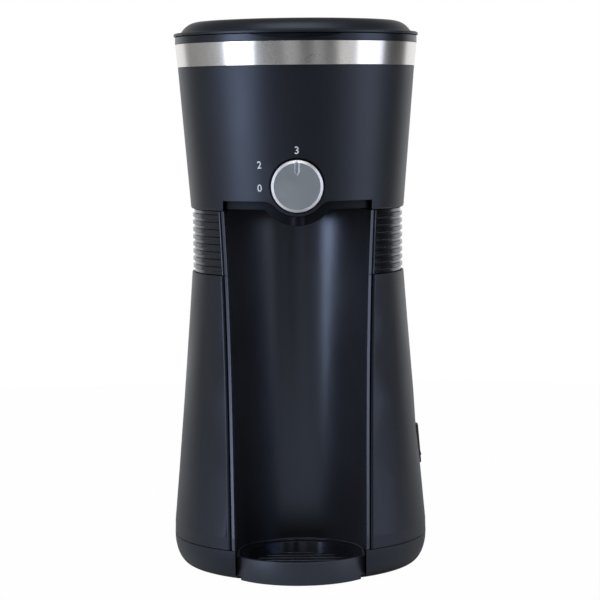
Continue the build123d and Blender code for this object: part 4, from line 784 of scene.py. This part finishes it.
FLOOR_RADIUS = 0.8
FLOOR_SIDES = 96
FLOOR_DROP = 0.05 * MM
FLOOR_PAINT = (0.82, 0.82, 0.82, 1)
FLOOR_WHITE = 0.985
WHITE = (1, 1, 1, 1)


def grey(level):
    """A grey of the given level."""
    return (level, level, level, 1)


def soft_lamp(name, angle, height, distance, width, length, power, colour):
    """A lamp that faces the column, at an angle from the front towards the right."""
    light = bpy.data.lights.new(name, "AREA")
    light.shape = "RECTANGLE"
    light.size = width
    light.size_y = length
    light.energy = power
    light.color = colour
    lamp = bpy.data.objects.new(name, light)
    bpy.context.scene.collection.objects.link(lamp)
    turn = radians(angle)
    lamp.location = (distance * sin(turn), -distance * cos(turn), height)
    away = Vector((lamp.location.x, lamp.location.y, lamp.location.z - LAMP_AIM))
    lamp.rotation_euler = away.to_track_quat("Z", "Y").to_euler()
    lamp.visible_camera = False


def studio_world(scene):
    """Soft panels round the column, a pale ceiling, and plain white behind for the camera."""
    world = bpy.data.worlds.new("studio")
    scene.world = world
    world.use_nodes = True
    tree = world.node_tree
    tree.nodes.clear()
    place = add_node(tree, "ShaderNodeTexCoord")
    parts = add_node(tree, "ShaderNodeSeparateXYZ")
    tree.links.new(place.outputs["Generated"], parts.inputs["Vector"])
    front = add_node(tree, "ShaderNodeMath", operation="MULTIPLY", inputs={1: -1.0})
    tree.links.new(parts.outputs["Y"], front.inputs[0])
    angle = add_node(tree, "ShaderNodeMath", operation="ARCTAN2")
    tree.links.new(parts.outputs["X"], angle.inputs[0])
    tree.links.new(front.outputs["Value"], angle.inputs[1])
    around = spread(tree, angle.outputs["Value"], 0.0, 1.0, -pi, pi)
    ramp = add_node(tree, "ShaderNodeValToRGB")
    elements = ramp.color_ramp.elements
    elements[0].color = grey(BACK_LEVEL)
    elements[1].color = grey(BACK_LEVEL)
    for azimuth, level in PANELS:
        elements.new((azimuth + 180) / 360).color = grey(level)
    tree.links.new(around, ramp.inputs["Fac"])
    ceiling = add_node(tree, "ShaderNodeMix", data_type="RGBA")
    ceiling.inputs[7].default_value = grey(CEILING_LEVEL)
    height = spread(tree, parts.outputs["Z"], 0.0, 1.0, CEILING_START, CEILING_END)
    tree.links.new(height, ceiling.inputs[0])
    tree.links.new(ramp.outputs["Color"], ceiling.inputs[6])
    light = add_node(tree, "ShaderNodeBackground", inputs={"Strength": 1.0})
    tree.links.new(ceiling.outputs[2], light.inputs["Color"])
    white = add_node(tree, "ShaderNodeBackground", inputs={"Color": WHITE, "Strength": 1.0})
    ray = add_node(tree, "ShaderNodeLightPath")
    mix = add_node(tree, "ShaderNodeMixShader")
    output = add_node(tree, "ShaderNodeOutputWorld")
    tree.links.new(ray.outputs["Is Camera Ray"], mix.inputs["Fac"])
    tree.links.new(light.outputs["Background"], mix.inputs[1])
    tree.links.new(white.outputs["Background"], mix.inputs[2])
    tree.links.new(mix.outputs["Shader"], output.inputs["Surface"])


def pale_floor():
    """A round pale floor that keeps a faint shadow and is nearly white to the camera."""
    deselect()
    bpy.ops.mesh.primitive_circle_add(
        vertices=FLOOR_SIDES,
        radius=FLOOR_RADIUS,
        fill_type="NGON",
        location=(0, 0, -FLOOR_DROP),
    )
    floor = bpy.context.object
    floor.name = "floor"
    finish = bpy.data.materials.new("floor_paint")
    finish.use_nodes = True
    tree = finish.node_tree
    tree.nodes.clear()
    paint = add_node(tree, "ShaderNodeBsdfDiffuse", inputs={"Color": FLOOR_PAINT})
    glow = add_node(tree, "ShaderNodeEmission", inputs={"Color": WHITE, "Strength": 1.0})
    ray = add_node(tree, "ShaderNodeLightPath")
    share = add_node(tree, "ShaderNodeMath", operation="MULTIPLY", inputs={1: FLOOR_WHITE})
    mix = add_node(tree, "ShaderNodeMixShader")
    output = add_node(tree, "ShaderNodeOutputMaterial")
    tree.links.new(ray.outputs["Is Camera Ray"], share.inputs[0])
    tree.links.new(share.outputs["Value"], mix.inputs["Fac"])
    tree.links.new(paint.outputs["BSDF"], mix.inputs[1])
    tree.links.new(glow.outputs["Emission"], mix.inputs[2])
    tree.links.new(mix.outputs["Shader"], output.inputs["Surface"])
    floor.data.materials.append(finish)


def set_camera(scene, values):
    """The camera in front of the column, at the photograph's angle."""
    camera = bpy.data.objects.new("camera", bpy.data.cameras.new("camera"))
    scene.collection.objects.link(camera)
    camera.data.sensor_width = 36
    camera.data.lens = values.focal
    camera.data.clip_start = 0.05
    camera.data.clip_end = 50
    turn = (
        Matrix.Rotation(values.pan, 3, "Z")
        @ Matrix.Rotation(radians(90) - values.tilt, 3, "X")
        @ Matrix.Rotation(values.roll, 3, "Z")
    )
    camera.location = (0, -values.distance, values.eye)
    camera.rotation_euler = turn.to_euler()
    scene.camera = camera


class COFFEE_OT_studio(Operator):
    """Sets up the floor, the lamps and the camera"""

    bl_idname = "coffee.studio"
    bl_label = "Studio"

    def execute(self, context):
        scene = context.scene
        scene.view_settings.view_transform = "Standard"
        studio_world(scene)
        pale_floor()
        for lamp in LAMPS:
            soft_lamp(*lamp)
        set_camera(scene, scene.coffee_studio)
        return {"FINISHED"}


# The add-on


class COFFEE_PT_panel(Panel):
    """Lists the values and the steps"""

    bl_idname = "COFFEE_PT_panel"
    bl_label = "Coffee maker looks"
    bl_space_type = "VIEW_3D"
    bl_region_type = "UI"
    bl_category = "Coffee Maker"

    def draw(self, context):
        for name in GROUPS:
            group = getattr(context.scene, name)
            box = self.layout.box()
            for value in group.__annotations__:
                box.prop(group, value)
        for step in STEPS:
            self.layout.operator(step.bl_idname)


GROUPS = {
    "coffee_finish": FinishValues,
    "coffee_tray": TrayValues,
    "coffee_marks": MarkValues,
    "coffee_studio": StudioValues,
}
STEPS = (
    COFFEE_OT_casing,
    COFFEE_OT_metalwork,
    COFFEE_OT_soft_parts,
    COFFEE_OT_drip_tray,
    COFFEE_OT_marks,
    COFFEE_OT_studio,
)
CLASSES = (*GROUPS.values(), *STEPS, COFFEE_PT_panel)


def register():
    for cls in CLASSES:
        bpy.utils.register_class(cls)
    for name, group in GROUPS.items():
        setattr(bpy.types.Scene, name, PointerProperty(type=group))


def unregister():
    for name in GROUPS:
        delattr(bpy.types.Scene, name)
    for cls in reversed(CLASSES):
        bpy.utils.unregister_class(cls)


def main():
    """Registers the add-on and runs every step in order."""
    register()
    bpy.ops.coffee.casing()
    bpy.ops.coffee.metalwork()
    bpy.ops.coffee.soft_parts()
    bpy.ops.coffee.drip_tray()
    bpy.ops.coffee.marks()
    bpy.ops.coffee.studio()


if __name__ == "__main__":
    main()
